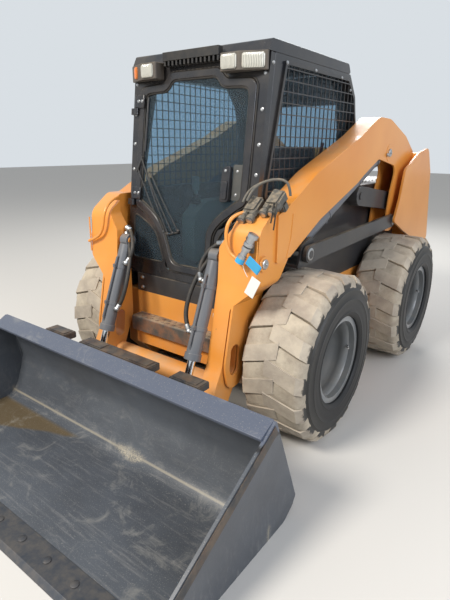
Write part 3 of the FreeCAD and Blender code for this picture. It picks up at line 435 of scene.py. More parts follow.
FRAME_BOLTS = (0.46, 0.60, 0.74, 0.90, 1.06)
SCREEN_BOLTS = ((-0.555, 1.90), (-0.43, 1.915), (-0.13, 1.915), (0.20, 1.915), (0.335, 1.86), (0.462, 1.60),
                (0.466, 1.40), (0.10, 1.285), (-0.15, 1.285), (-0.40, 1.285))
cab_bolts = bmesh.new()
for side in (-1, 1):
    for up in FRAME_BOLTS:
        add_bolt(cab_bolts, on_front(side * 0.427, up), OUT_OF_FRONT, 0.013, 0.006)
    for y, z in SCREEN_BOLTS:
        add_bolt(cab_bolts, (side * 0.459, y, z), (side, 0, 0), 0.013, 0.006)
mesh_piece("cab_bolts", cab_bolts, zinc_bolts, "chassis")

# Side screens: black 5 mm wire, welded in squares and coated, in a flat band bolted to the cab.
# The coating is satin, and dust settles on every crossing.
coated_wire = sprayed_steel("black_coated_wire", "#1d1e21", "#26272a", 0.38, dust=0.2, splash=0.0, chip="#77787a")
for side in SIDES:
    finish_node("side_screen_" + side, coated_wire, 0)

# Windows and door pane: 6 mm toughened glass, tinted blue-grey. It is clear enough to see the seat
# through, with a thin film of dust that catches the light.
tinted_glass, shine, place = new_material("tinted_toughened_glass", Transmission_Weight=0.955, IOR=1.12,
                                          Specular_IOR_Level=0.7, Base_Color=linear("#b4cad8"))
haze = add(tinted_glass, "TexNoise", {"Vector": place, "Scale": 5.0, "Detail": 7.0, "Roughness": 0.6})
feed(shine, {"Roughness": add(tinted_glass, "MapRange", {
    "Value": haze, "From Min": 0.4, "From Max": 0.75, "To Min": 0.02, "To Max": 0.12})})
for name in ("cab_windows", "door_glass"):
    finish_node(name, tinted_glass, 0)

# Cab front: the frame that the door shuts on, cut from one plate. Its doorway narrows to a foot
# well, and a fixed pane fills the corner on each side of that. A rubber seal runs round the doorway.
DOOR_LINE = [(-0.100, 0.052), (-0.194, 0.263), (-0.255, 0.330), (-0.335, 0.375), (-0.391, 0.402), (-0.391, 1.040),
             (-0.205, 1.048), (-0.168, 1.102), (0.168, 1.102), (0.205, 1.048), (0.391, 1.040), (0.391, 0.455),
             (0.340, 0.425), (0.239, 0.350), (0.192, 0.290), (0.192, 0.052)]
CORNER_PANES = [[(-0.405, 0.085), (-0.405, 0.352), (-0.345, 0.330), (-0.270, 0.292), (-0.218, 0.250),
                 (-0.142, 0.085)],
                [(0.405, 0.085), (0.405, 0.395), (0.352, 0.380), (0.262, 0.320), (0.222, 0.270), (0.222, 0.085)]]
DOOR_CORNER, PANE_CORNER = 0.05, 0.03


def drawn_in(line, inset):
    """A closed outline with every side moved inwards by an inset."""
    turning = sum(line[n - 1][0] * line[n][1] - line[n][0] * line[n - 1][1] for n in range(len(line)))
    hand = 1 if turning > 0 else -1
    moved = []
    for n, point in enumerate(line):
        before, here, after = Vector(line[n - 1]), Vector(point), Vector(line[(n + 1) % len(line)])
        one, two = (here - before).normalized(), (after - here).normalized()
        corner = hand * (Vector((-one.y, one.x)) + Vector((-two.y, two.x)))
        moved.append(here + corner * (inset / (1 + one.dot(two))))
    return moved


def rounded(points, radius, steps=5):
    """A closed flat line with its corners rounded."""
    smooth = []
    for n, point in enumerate(points):
        here, before, after = Vector(point), Vector(points[n - 1]), Vector(points[(n + 1) % len(points)])
        reach = min(radius, (here - before).length * 0.45, (here - after).length * 0.45)
        start = here + (before - here).normalized() * reach
        end = here + (after - here).normalized() * reach
        for k in range(steps + 1):
            t = k / steps
            smooth.append(start * (1 - t) ** 2 + here * 2 * t * (1 - t) + end * t * t)
    return smooth


def front_plate(mesh, line, back, front, inner=None):
    """A plate of an outline on the leaning front, from one depth to another, perhaps with an opening."""
    edges = [(line, back), (line, front)] + ([(inner, front), (inner, back)] if inner else [])
    loops = [[mesh.verts.new(on_front(p.x, p.y, out)) for p in edge] for edge, out in edges]
    bridge(mesh, loops + (loops[:1] if inner else []), not inner)


def apply_modifiers(piece):
    """Makes a piece's modifiers part of its mesh."""
    old = piece.data
    piece.data = bpy.data.meshes.new_from_object(piece.evaluated_get(bpy.context.evaluated_depsgraph_get()))
    piece.modifiers.clear()
    bpy.data.meshes.remove(old)


openings = bmesh.new()
front_plate(openings, rounded(drawn_in(DOOR_LINE, 0.012), DOOR_CORNER), -0.070, 0.012)
for pane in CORNER_PANES:
    front_plate(openings, rounded(pane, PANE_CORNER), -0.070, 0.012)
cutter = mesh_object("openings", openings)
front_frame = bpy.data.objects.new("cab_front_frame", nodes["cab_front"].data.copy())
bpy.context.scene.collection.objects.link(front_frame)
front_frame.modifiers.new("seams", "WELD").merge_threshold = SEAM_GAP
cut = front_frame.modifiers.new("openings", "BOOLEAN")
cut.object = cutter
cut.operation = "DIFFERENCE"
apply_modifiers(front_frame)
bpy.data.meshes.remove(cutter.data)
finish_node("cab_front", gloss_black, 0.003, front_frame)
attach(front_frame, "chassis")
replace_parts(front_frame, "cab_front")


def sweep(mesh, points, radius, closed=False, sides=8):
    """A round bar, seal or hose along a line of points."""
    rings = []
    last = None
    for n, point in enumerate(points):
        before = points[n - 1] if n or closed else point
        after = points[(n + 1) % len(points)] if n + 1 < len(points) or closed else point
        along = (Vector(after) - Vector(before)).normalized()
        last = last or along.orthogonal().normalized()
        last = (last - along * last.dot(along)).normalized()
        rings.append(add_ring(mesh, Vector(point), last, along.cross(last), radius, sides))
    if closed:
        # The last ring meets the first one at whichever turn twists the bar least.
        first, end = rings[0], rings[-1]
        turns = [first[k:] + first[:k] for k in range(sides)]
        rings.append(min(turns, key=lambda turn: sum((a.co - b.co).length for a, b in zip(end, turn))))
    bridge(mesh, rings, not closed)


def seal_round(mesh, line, out, radius=0.0045):
    """A rubber seal along a closed outline of the front."""
    sweep(mesh, [on_front(p.x, p.y, out) for p in line], radius, True)


seal_rubber = dusty_finish("black_seal_rubber", "#141415", 0.62, dust=0.35, grain=24.0)
frame_seal = bmesh.new()
seal_round(frame_seal, rounded(drawn_in(DOOR_LINE, -0.004), DOOR_CORNER), 0.003)
corner_glass = bmesh.new()
for pane in CORNER_PANES:
    seal_round(frame_seal, rounded(drawn_in(pane, 0.003), PANE_CORNER), -0.002, 0.005)
    front_plate(corner_glass, rounded(drawn_in(pane, -0.001), PANE_CORNER), -0.008, -0.003)
mesh_piece("doorway_seal", frame_seal, seal_rubber, "chassis")
mesh_piece("corner_panes", corner_glass, tinted_glass, "chassis")

# Door: a frame of bent steel round one pane, black, on two strap hinges at the machine's right. Its
# latch is a tall black handle beside a bare grey plate.
DOOR_BACK, DOOR_FRONT, DOOR_BORDER = -0.012, 0.014, 0.036
HINGE_X, HINGE_HEIGHT, HINGE_LOWS = -0.404, 0.070, (0.430, 0.930)
STRAP_END, STRAP_FRONT = HINGE_X + 0.060, DOOR_FRONT + 0.011


def ease_edges(piece, width, segments, angle=30):
    """Rounds the hard edges of a piece."""
    eased = piece.modifiers.new("eased edges", "BEVEL")
    eased.width = width
    eased.segments = segments
    eased.limit_method = "ANGLE"
    eased.angle_limit = math.radians(angle)


leaf = bmesh.new()
front_plate(leaf, rounded(DOOR_LINE, DOOR_CORNER), DOOR_BACK, DOOR_FRONT,
            rounded(drawn_in(DOOR_LINE, DOOR_BORDER), DOOR_CORNER))
door_bolts = bmesh.new()
for low in HINGE_LOWS:
    top = low + HINGE_HEIGHT
    add_turned(leaf, on_front(HINGE_X, low, DOOR_FRONT + 0.006), UP_FRONT, [(0.011, 0), (0.011, HINGE_HEIGHT)], 24)
    strap = [Vector(p) for p in ((HINGE_X, low), (HINGE_X, top), (STRAP_END, top), (STRAP_END, low))]
    front_plate(leaf, strap, DOOR_FRONT, STRAP_FRONT)
    for x in (-0.385, -0.358):
        add_bolt(door_bolts, on_front(x, (low + top) / 2, STRAP_FRONT), OUT_OF_FRONT, 0.013, 0.006)
leaf_piece = mesh_piece("door_leaf", leaf, gloss_black, "cab_door")
ease_edges(leaf_piece, 0.004, 2, 50)
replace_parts(leaf_piece, "cab_door")
pane = bmesh.new()
front_plate(pane, rounded(drawn_in(DOOR_LINE, DOOR_BORDER - 0.002), DOOR_CORNER), -0.005, 0.0)
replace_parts(mesh_piece("door_pane", pane, tinted_glass, "cab_door"), "door_glass")
seal = bmesh.new()
seal_round(seal, rounded(drawn_in(DOOR_LINE, DOOR_BORDER + 0.003), DOOR_CORNER), 0.002, 0.006)
mesh_piece("door_pane_seal", seal, seal_rubber, "cab_door")
latch_plate = bmesh.new()
LATCH_OUTLINE = [(0.292, 0.470), (0.292, 0.645), (0.356, 0.645), (0.356, 0.470)]
front_plate(latch_plate, rounded(LATCH_OUTLINE, 0.01), 0.001, 0.004)
grey_plate = dusty_finish("bare_latch_plate", "#4b4d4c", 0.5, dust=0.3, grain=40.0, Metallic=0.4)
mesh_piece("latch_plate", latch_plate, grey_plate, "cab_door")
handle = bmesh.new()
front_plate(handle, rounded([(0.236, 0.455), (0.240, 0.622), (0.290, 0.640), (0.290, 0.460)], 0.016), 0.001, 0.030)
front_plate(handle, rounded([(0.252, 0.470), (0.252, 0.560), (0.284, 0.560), (0.284, 0.470)], 0.010), 0.030, 0.040)
ease_edges(mesh_piece("door_handle", handle, gloss_black, "cab_door"), 0.004, 3)
for x, out in ((0.264, 0.030), (0.318, 0.004)):
    for up in (0.498, 0.612):
        add_bolt(door_bolts, on_front(x, up, out), OUT_OF_FRONT, 0.010, 0.005)
mesh_piece("door_bolts", door_bolts, zinc_bolts, "cab_door")

# Wiper: four thin black arms on turned feet and a long blade, parked along the door's machine-right
# edge. All of it is black enamelled wire and pressed strip under dust.
black_wiper = dusty_finish("black_wiper_enamel", "#222427", 0.35, dust=0.3, grain=30.0)
# Each arm's foot and tip, across the front and up along it.
ARMS = [((-0.158, 0.262), (-0.372, 0.600)), ((-0.122, 0.254), (-0.346, 0.660)), ((-0.086, 0.262), (-0.312, 0.600)),
        ((-0.046, 0.278), (-0.276, 0.590))]
# The bars that join the feet, join the tips and hold the blade: their points and radius.
BARS = [([(-0.165, 0.258, 0.004), (-0.120, 0.250, 0.004), (-0.040, 0.272, 0.004)], 0.005),
        ([(-0.380, 0.585, 0.020), (-0.338, 0.670, 0.020)], 0.006),
        ([(-0.336, 0.70, 0.008), (-0.325, 0.985, 0.008)], 0.006)]
wiper = bmesh.new()
for foot, tip in ARMS:
    foot, tip = on_front(*foot, 0.010), on_front(*tip, 0.022)
    sweep(wiper, [foot, (foot + tip) / 2 + OUT_OF_FRONT * 0.008, tip], 0.0036)
    add_turned(wiper, foot, OUT_OF_FRONT, [(0.008, -0.009), (0.008, 0.004), (0.005, 0.006)], 12)
for bar, radius in BARS:
    sweep(wiper, [on_front(*point) for point in bar], radius)
mesh_piece("wiper", wiper, black_wiper, "cab_door")

# Roof: louvred black moulding over the door, and two lamp pods. The near pod has two clear lamps,
# the far one a single lamp beside an amber marker; bezels are a dusty grey-brown plastic.
moulded_black = dusty_finish("moulded_black_polyethylene", "#17181a", 0.5, dust=0.45, grain=16.0)
finish_node("roof_louvre", moulded_black, 0.002)
bezel_plastic = dusty_finish("weathered_bezel_plastic", "#4c4640", 0.55, grain=30.0)
finish_node("lamp_pods", bezel_plastic, 0.004)


def striped(name, dark, pale, scale, way, distortion=0.0, **shader):
    """A finish in two tones that alternate in even ribs, as on a lens or webbing."""
    material, shine, place = new_material(name, **shader)
    ribs = add(material, "TexWave", {"Vector": place, "Scale": scale, "Distortion": distortion},
               bands_direction=way).outputs[1]
    feed(shine, {"Base Color": add(material, "Mix", {
        MIX_FACTOR: ribs, MIX_A: linear(dark), MIX_B: linear(pale)}, data_type="RGBA")})
    return material, shine, ribs


clear_lens, shine, ribs = striped("clear_ribbed_lens", "#85867f", "#d3d1c6", 45.0, "X", 1.5,
                                  Roughness=0.12, Specular_IOR_Level=0.8)
feed(shine, {"Normal": add(clear_lens, "Bump", {"Height": ribs, "Strength": 0.5, "Distance": 0.002})})
amber_lens = striped("amber_lens", "#c0601c", "#e2853a", 60.0, "Z", Roughness=0.15, Specular_IOR_Level=0.7)[0]
LENS_DEPTH, LENS_CORNER = 0.010, 0.012
# From the lens's rim to its crown: the share of its size, and the share of its depth.
LENS_CROWN = ((1.0, -0.2), (1.0, 0.4), (0.93, 0.8), (0.75, 1.0), (0.4, 1.15))


def lens(mesh, middle, facing, wide, tall):
    """A rounded rectangular lens that crowns out of its bezel."""
    across = Vector((0, 0, 1)).cross(facing).normalized()
    up = facing.cross(across)
    outline = []
    for n, (sx, sz) in enumerate(((1, 1), (-1, 1), (-1, -1), (1, -1))):
        for k in range(5):
            angle = math.radians(90 * n + 22.5 * k)
            outline.append((sx * (wide / 2 - LENS_CORNER) + LENS_CORNER * math.cos(angle),
                            sz * (tall / 2 - LENS_CORNER) + LENS_CORNER * math.sin(angle)))
    bridge(mesh, [[mesh.verts.new(middle + (across * a + up * b) * share + facing * (LENS_DEPTH * out))
                   for a, b in outline] for share, out in LENS_CROWN])


# A pod's front runs from its inner end to a corner, and turns back from there to its outer end.
POD_CORNER, POD_OUTER = (0.322, -0.640), (0.450, -0.584)
LAMP_Z = 1.909
AHEAD = Vector((0, -1, 0))
turned_back = Vector((POD_OUTER[0] - POD_CORNER[0], POD_OUTER[1] - POD_CORNER[1], 0)).normalized()
clear_lamps = bmesh.new()
amber_lamps = bmesh.new()
for side in (-1, 1):
    outer_facing = Vector((side * turned_back.y, -turned_back.x, 0))
    outer_middle = Vector((side * (POD_CORNER[0] + POD_OUTER[0]) / 2, (POD_CORNER[1] + POD_OUTER[1]) / 2, LAMP_Z))
    outer_middle -= outer_facing * 0.001
    if side > 0:
        lens(clear_lamps, Vector((0.267, -0.643, LAMP_Z)), AHEAD, 0.088, 0.066)
        lens(clear_lamps, outer_middle, outer_facing, 0.108, 0.066)
    else:
        lens(clear_lamps, Vector((-0.271, -0.643, LAMP_Z)), AHEAD, 0.086, 0.066)
        lens(amber_lamps, outer_middle, outer_facing, 0.036, 0.062)
mesh_piece("work_lamps", clear_lamps, clear_lens, "chassis")
mesh_piece("marker_lamp", amber_lamps, amber_lens, "chassis")

# Seat: moulded foam in black vinyl, on a steel box. Both cushions are crowned, with their sides
# pulled in at the seams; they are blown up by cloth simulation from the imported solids.
VOXEL, CLOTH_PRESSURE, CLOTH_STEPS = 0.014, 4.0, 20
SHRUNK, SWELL_CAP = 0.95, 0.014


def padded_piece(name, node, body, material):
    """A cushion grown by cloth pressure from a node's solid, and kept near that solid."""
    low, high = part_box(node)
    middle = (low + high) / 2
    data = nodes[node].data.copy()
    piece = bpy.data.objects.new(name, data)
    bpy.context.scene.collection.objects.link(piece)
    for vertex in data.vertices:
        vertex.co = middle + (vertex.co - middle) * SHRUNK
    if "custom_normal" in data.attributes:
        data.attributes.remove(data.attributes["custom_normal"])
    voxels = piece.modifiers.new("voxels", "REMESH")
    voxels.mode = "VOXEL"
    voxels.voxel_size = VOXEL
    apply_modifiers(piece)
    start = [v.co.copy() for v in piece.data.vertices]
    cloth = piece.modifiers.new("cloth", "CLOTH")
    cloth.settings.use_pressure = True
    cloth.settings.uniform_pressure_force = CLOTH_PRESSURE
    cloth.settings.effector_weights.gravity = 0.0
    for step in range(1, CLOTH_STEPS + 1):
        bpy.context.scene.frame_set(step)
    apply_modifiers(piece)
    bpy.context.scene.frame_set(1)
    for vertex, at in zip(piece.data.vertices, start):
        moved = vertex.co - at
        if moved.length > SWELL_CAP:
            vertex.co = at + moved.normalized() * SWELL_CAP
    for vertex in piece.data.vertices:
        vertex.co = Vector(min(max(c, a), b) for c, a, b in zip(vertex.co, low, high))
    piece.modifiers.new("smooth", "SMOOTH").iterations = 6
    finer = piece.modifiers.new("finer", "SUBSURF")
    finer.levels = finer.render_levels = 1
    apply_modifiers(piece)
    piece.data.shade_smooth()
    piece.data.materials.clear()
    piece.data.materials.append(material)
    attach(piece, body)
    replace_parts(piece, node)


black_vinyl, shine, place = new_material("grained_black_vinyl", Sheen_Weight=0.1)
# Vinyl grain is about 1 mm; it is drawn 4 mm across so that it shows through the glass.
hide = add(black_vinyl, "TexVoronoi", {"Vector": place, "Scale": 250.0}, feature="DISTANCE_TO_EDGE")
feed(shine, {"Normal": add(black_vinyl, "Bump", {"Height": hide, "Strength": 0.3, "Distance": 0.001})})
dusty(black_vinyl, shine, place, linear("#1c1d20"), 0.5, dust=0.25, splash=0.0, grain=18.0)
padded_piece("seat_pad", "seat_cushion", "chassis", black_vinyl)
padded_piece("back_pad", "seat_back", "chassis", black_vinyl)
finish_node("seat_base", black_powder_coat, 0.003)

# Consoles: grey-green moulded ABS armrests, each with a pleated rubber boot and a control lever. The
# moulding is satin and evenly coloured.
grey_abs = dusty_finish("grey_green_moulded_abs", "#5d6c66", 0.55, dust=0.2, grain=22.0)
finish_node("consoles", grey_abs, 0.006)
BOOT_PLEATS = [((0.038 if n % 2 else 0.032) - 0.002 * n, 0.008 * n) for n in range(9)]
boots = bmesh.new()
for x in (-0.317, 0.317):
    add_turned(boots, (x, -0.200, 1.172), (0, 0, 1), BOOT_PLEATS)
mesh_piece("lever_boots", boots, seal_rubber, "chassis")

# Seat belt: woven red webbing, 50 mm wide and flat, from the left of the seat back to its foot. Its
# threads are drawn coarser than they are so that they show.
red_webbing = striped("woven_red_webbing", "#8e2233", "#b5344a", 160.0, "Z", Roughness=0.8)[0]
BELT_LINE = [(0.252, 0.43, 1.56), (0.248, 0.40, 1.45), (0.246, 0.375, 1.30), (0.250, 0.355, 1.15),
             (0.252, 0.33, 1.05)]
BELT_SECTION = ((0, -0.024), (0, 0.024), (0.003, 0.024), (0.003, -0.024))
belt = bmesh.new()
bridge(belt, [[belt.verts.new((x + t, y + w, z)) for t, w in BELT_SECTION] for x, y, z in BELT_LINE])
mesh_piece("seat_belt", belt, red_webbing, "chassis")

# Lift arms: welded boxes and channels of 12 mm plate, orange, with their pins' bosses. The tubes
# that tie the two arms together are orange too, and the pins are kept by bolted flats.
for name in ("boom_arm_left", "boom_arm_right", "boom_front_tube", "boom_rear_tube"):
    finish_node(name, orange_enamel, 0.003)
PIVOTS = {joint["name"]: Vector(joint["pos_m"]) for joint in frame["joints"] if "pos_m" in joint}
ARM_FACE = 0.602
HUMP_PIN = Vector((ARM_FACE + 0.003, 0.741, 1.499))
TILT_PIN = PIVOTS["tilt_barrel_pivot"]
GREASE_NIPPLE = [(0.006, 0), (0.006, 0.006), (0.004, 0.008)]
boom_pins = bmesh.new()
for side in (-1, 1):
    out = (side, 0, 0)
    for x, pin, radius in ((HUMP_PIN.x, HUMP_PIN, 0.027), (ARM_FACE, TILT_PIN, 0.024)):
        washer = [(radius, -0.004), (radius, 0.006), (radius * 0.85, 0.009)]
        add_turned(boom_pins, (side * x, pin.y, pin.z), out, washer, 28)
        add_turned(boom_pins, (side * (x + 0.008), pin.y, pin.z), out, GREASE_NIPPLE, 10)
    add_bolt(boom_pins, (side * (ARM_FACE + 0.006), HUMP_PIN.y - 0.05, HUMP_PIN.z - 0.012), out, 0.019, 0.009)
mesh_piece("boom_pins", boom_pins, zinc_bolts, "boom")

# Arm fittings: weld beads along the joints of the bend, and a guard rod of 17 mm bar bent over the
# front of it, all under the arm's orange.
BEAD_STEP, BEAD_SIDES = 0.006, 6
ARM_WELDS = [[(ARM_FACE, -0.552, 1.225), (ARM_FACE, -0.565, 1.10), (ARM_FACE, -0.600, 1.01)],
             [(0.478, -0.745, 0.70), (0.478, -0.745, 0.52)], [(0.590, -0.8475, 1.13), (0.590, -0.8495, 0.93)]]


def weld_beads(mesh, points, radius=0.004):
    """On both sides of the machine, a bead of short overlapping ripples along a line."""
    for side in (-1, 1):
        line = [Vector((side * x, y, z)) for x, y, z in points]
        for start, end in zip(line, line[1:]):
            count = max(2, int((end - start).length / BEAD_STEP))
            along = (end - start).normalized()
            across = along.orthogonal().normalized()
            bridge(mesh, [add_ring(mesh, start.lerp(end, n / count), across, along.cross(across),
                                   radius * (0.85 + 0.3 * (n % 2)), BEAD_SIDES) for n in range(count + 1)], False)


def smooth_route(points):
    """A smooth line: a NURBS spline with a route's few points as its control points."""
    route = bpy.data.curves.new("route", "CURVE")
    route.dimensions = "3D"
    spline = route.splines.new("NURBS")
    spline.points.add(len(points) - 1)
    for control, at in zip(spline.points, points):
        control.co = (*at, 1.0)
    spline.order_u = 3
    spline.use_endpoint_u = True
    spline.resolution_u = 6
    holder = bpy.data.objects.new("route", route)
    line = bpy.data.meshes.new_from_object(holder)
    run = [vertex.co.copy() for vertex in line.vertices]
    bpy.data.objects.remove(holder)
    bpy.data.curves.remove(route)
    bpy.data.meshes.remove(line)
    return run


welds = bmesh.new()
for line in ARM_WELDS:
    weld_beads(welds, line)
mesh_piece("arm_welds", welds, orange_enamel, "boom", 60)
ROD_ROUTES = [
    [(0.468, -0.760, 1.242), (0.446, -0.815, 1.238), (0.428, -0.862, 1.190), (0.426, -0.862, 1.105),
     (0.450, -0.862, 1.060), (0.492, -0.862, 1.040), (0.530, -0.862, 1.000)],
    [(-0.445, -0.745, 1.250), (-0.440, -0.812, 1.232), (-0.436, -0.862, 1.170), (-0.450, -0.862, 1.095),
     (-0.480, -0.862, 1.040), (-0.540, -0.862, 1.010), (-0.590, -0.862, 0.990)]]
guard = bmesh.new()
for route in ROD_ROUTES:
    sweep(guard, smooth_route(route), 0.0085, sides=12)
mesh_piece("guard_rods", guard, orange_enamel, "boom")

# Work couplings: two cast blocks on top of the left arm's bend, each with two flat-faced couplings
# that look forward, under a hoop of round bar. Grease and dust have caked them grey.
grimy_casting, shine, place = new_material("grease_caked_castings")
dusty(grimy_casting, shine, place, linear("#55544f"), 0.6, dust=0.7, splash=0.0, grain=45.0)
grained(grimy_casting, shine, place, 90.0, 0.7, 0.004, 6.0, 0.7)
DOWN_FRONT = Vector((0, -0.80, -0.60))
BEND_FRONT = -0.847
BEND_SLOPE = Matrix.Rotation(math.radians(37), 3, "X")
BLOCKS = (Vector((0.488, -0.728, 1.262)), Vector((0.582, -0.690, 1.296)))
# A block is a body over a foot, with a plug on top: low and high corners from its middle, and bevel.
BLOCK_FORMS = (((-0.036, -0.045, -0.030), (0.036, 0.055, 0.028), 0.010),
               ((-0.042, 0.010, -0.050), (0.042, 0.050, -0.005), 0.006))
PLUG = [(0.017, -0.01), (0.017, 0.014), (0.011, 0.020)]
NOSE_HEX = [(0.021, -0.02), (0.021, 0.012), (0.017, 0.015), (0.017, 0.024)]
NOSE_COLLAR = [(0.018, 0.022), (0.0215, 0.026), (0.0215, 0.044), (0.019, 0.046)]
blocks = bmesh.new()
collars = bmesh.new()
straps = bmesh.new()
for middle in BLOCKS:
    for low, high, bevel in BLOCK_FORMS:
        add_box(blocks, middle + Vector(low), middle + Vector(high), bevel, BEND_SLOPE)
    add_turned(blocks, middle + Vector((-0.012, 0.020, 0.030)), (0.1, 0.3, 1.0), PLUG, 6)
    for off, reach in ((-0.021, 0.050), (0.021, 0.042)):
        nose = middle + Vector((off, 0, 0)) + DOWN_FRONT * reach
        add_turned(blocks, nose, DOWN_FRONT, NOSE_HEX, 6)
        add_turned(blocks, nose, DOWN_FRONT, NOSE_COLLAR)
        add_turned(collars, nose + DOWN_FRONT * 0.0455, DOWN_FRONT, [(0.016, 0), (0.016, 0.003), (0.008, 0.005)], 20)
for x, y, z in ((0.450, -0.765, 1.285), (0.470, -0.760, 1.292)):
    hoop = [(x, y, z), (x + 0.004, -0.735, 1.335), (0.500, -0.695, 1.372), (0.560, -0.665, 1.392),
            (0.612, -0.650, 1.385), (0.628, -0.645, 1.350), (0.630, -0.640, 1.318)]
    sweep(blocks, smooth_route(hoop), 0.0065, sides=10)
for x, low in ((0.628, 1.175), (0.612, 1.205)):
    loop = [(x - 0.012, -0.735, 1.290), (x, -0.765, 1.272), (x + 0.004, -0.770, 1.235), (x - 0.004, -0.770, low)]
    sweep(straps, smooth_route(loop), 0.0035)
# The drain line's coupling lies below them on the bend's front, with a bracket of its own.
DRAIN = Vector((0.556, BEND_FRONT - 0.030, 1.105))
DRAIN_WAY = Vector((-0.45, -0.1, -0.89))
# A half of it: the share of its radius, and the distance along it.
DRAIN_HALF = ((1, -0.032), (1.15, -0.030), (1.15, -0.014), (0.85, -0.011), (0.85, 0.011), (1.1, 0.014),
              (1.1, 0.028), (0.7, 0.031))
for at, radius in ((-0.036, 0.0215), (0.030, 0.019)):
    add_turned(collars, DRAIN + DRAIN_WAY * at, DRAIN_WAY, [(radius * share, out) for share, out in DRAIN_HALF], 20)
add_box(blocks, (0.535, BEND_FRONT - 0.016, 1.075), (0.577, BEND_FRONT + 0.002, 1.150), 0.004)
mesh_piece("work_couplings", blocks, grimy_casting, "boom")
mesh_piece("coupling_faces", collars, zinc_bolts, "boom")
mesh_piece("cap_straps", straps, seal_rubber, "boom")

# Cap and card: a blue moulded dust cap hangs by its strap from the drain coupling, and a white
# plastic-coated card, blank, hangs below it on a loop.
blue_cap = dusty_finish("blue_moulded_cap", "#35a4d6", 0.45, dust=0.15, grain=25.0)
cap = bmesh.new()
cap_swing = Matrix.Rotation(math.radians(35), 3, "Y") @ Matrix.Rotation(math.radians(8), 3, "X")
add_box(cap, (0.560, BEND_FRONT - 0.046, 1.005), (0.640, BEND_FRONT - 0.038, 1.055), 0.003, cap_swing)
add_turned(cap, DRAIN + DRAIN_WAY * 0.072, DRAIN_WAY, [(0.021, -0.014), (0.022, 0.010), (0.016, 0.013)], 20)
mesh_piece("dust_cap", cap, blue_cap, "boom")
card = bmesh.new()
card_swing = Matrix.Rotation(math.radians(26), 3, "Y")
add_box(card, (0.556, BEND_FRONT - 0.020, 0.872), (0.608, BEND_FRONT - 0.0185, 0.968), 0.0006, card_swing)
string = [(0.530, BEND_FRONT - 0.030, 1.030), (0.538, BEND_FRONT - 0.030, 1.000), (0.556, BEND_FRONT - 0.022, 0.965)]
sweep(card, smooth_route(string), 0.0015)
mesh_piece("blank_card", card, enamelled_plate, "boom")

# Links of the lift: forged bars, black and dusty, that turn on 44 mm pins in greased bushes. Each
# lower pin is held by a plain round washer, zinc plated.
for side in SIDES:
    finish_node("lower_link_" + side, black_powder_coat, 0.003)
    finish_node("upper_link_" + side, black_powder_coat, 0.004)
link_washers = bmesh.new()
for side in (-1, 1):
    for name in ("boom_lift", "boom_tail_pivot"):
        add_turned(link_washers, (side * 0.632, PIVOTS[name].y, PIVOTS[name].z), (side, 0, 0),
                   [(0.034, -0.001), (0.034, 0.003), (0.030, 0.005)], 28)
mesh_piece("link_washers", link_washers, zinc_bolts, "lower_links")

# Cylinders: honed steel barrels in dark grey enamel with welded eyes; rods are hard-chromed and
# ground, bright and slightly oily.
cylinder_enamel = sprayed_steel("grey_cylinder_enamel", "#585c63", "#62666c", 0.34, dust=0.35, splash=0.2,
                                chip="#8a8b8d")
hard_chrome, shine, place = new_material("hard_chrome", Metallic=1.0, Base_Color=linear("#dcdfe2"))
oil = add(hard_chrome, "TexNoise", {"Vector": place, "Scale": 60.0, "Detail": 6.0})
feed(shine, {"Roughness": add(hard_chrome, "MapRange", {
    "Value": oil, "From Min": 0.4, "From Max": 0.7, "To Min": 0.06, "To Max": 0.22})})
for kind in ("lift", "tilt"):
    for side in SIDES:
        finish_node("%s_barrel_%s" % (kind, side), cylinder_enamel, 0.002)
        finish_node("%s_rod_%s" % (kind, side), hard_chrome, 0.0015)

# Ports and pipes: each barrel has a steel pipe from its gland end back to near its pin, held by two
# saddles on rings, all sprayed with the barrel.
PIPE_RADIUS, SADDLE_HALF = 0.0065, Vector((0.011, 0.011, 0.011))
TILT_END = Vector((0.0, -1.072, 0.330))
# Each pair: its pin, its rod's far end, its place across, and the barrel's radius and length.
CYLINDERS = {"lift": (PIVOTS["lift_barrel_pivot"], HUMP_PIN, 0.540, 0.040, 1.085),
             "tilt": (TILT_PIN, TILT_END, 0.322, 0.038, 0.528)}
for kind, (pin, tip, x, tube, length) in CYLINDERS.items():
    pipes = bmesh.new()
    for side in (-1, 1):
        start = Vector((side * x, pin.y, pin.z))
        axis = (Vector((side * x, tip.y, tip.z)) - start).normalized()
        away = Vector((0, -axis.z, axis.y))
        # A tilt pipe runs on the barrel's front, and a lift pipe below its barrel.
        away = -away if (away.y if kind == "tilt" else away.z) > 0 else away
        out = tube + 0.009
        sweep(pipes, [start + axis * along + away * off for along, off in (
            (0.10, tube - 0.004), (0.11, out), (length - 0.075, out), (length - 0.055, tube - 0.002))], PIPE_RADIUS)
        for share in (0.3, 0.7):
            at = start + axis * (length * share)
            saddle = at + away * out
            add_turned(pipes, at, axis, [(tube + 0.0005, -0.01), (tube + 0.003, -0.009), (tube + 0.003, 0.009),
                                         (tube + 0.0005, 0.01)], 32)
            add_box(pipes, saddle - SADDLE_HALF, saddle + SADDLE_HALF, 0.003)
    mesh_piece(kind + "_pipes", pipes, cylinder_enamel, kind + "_barrels")

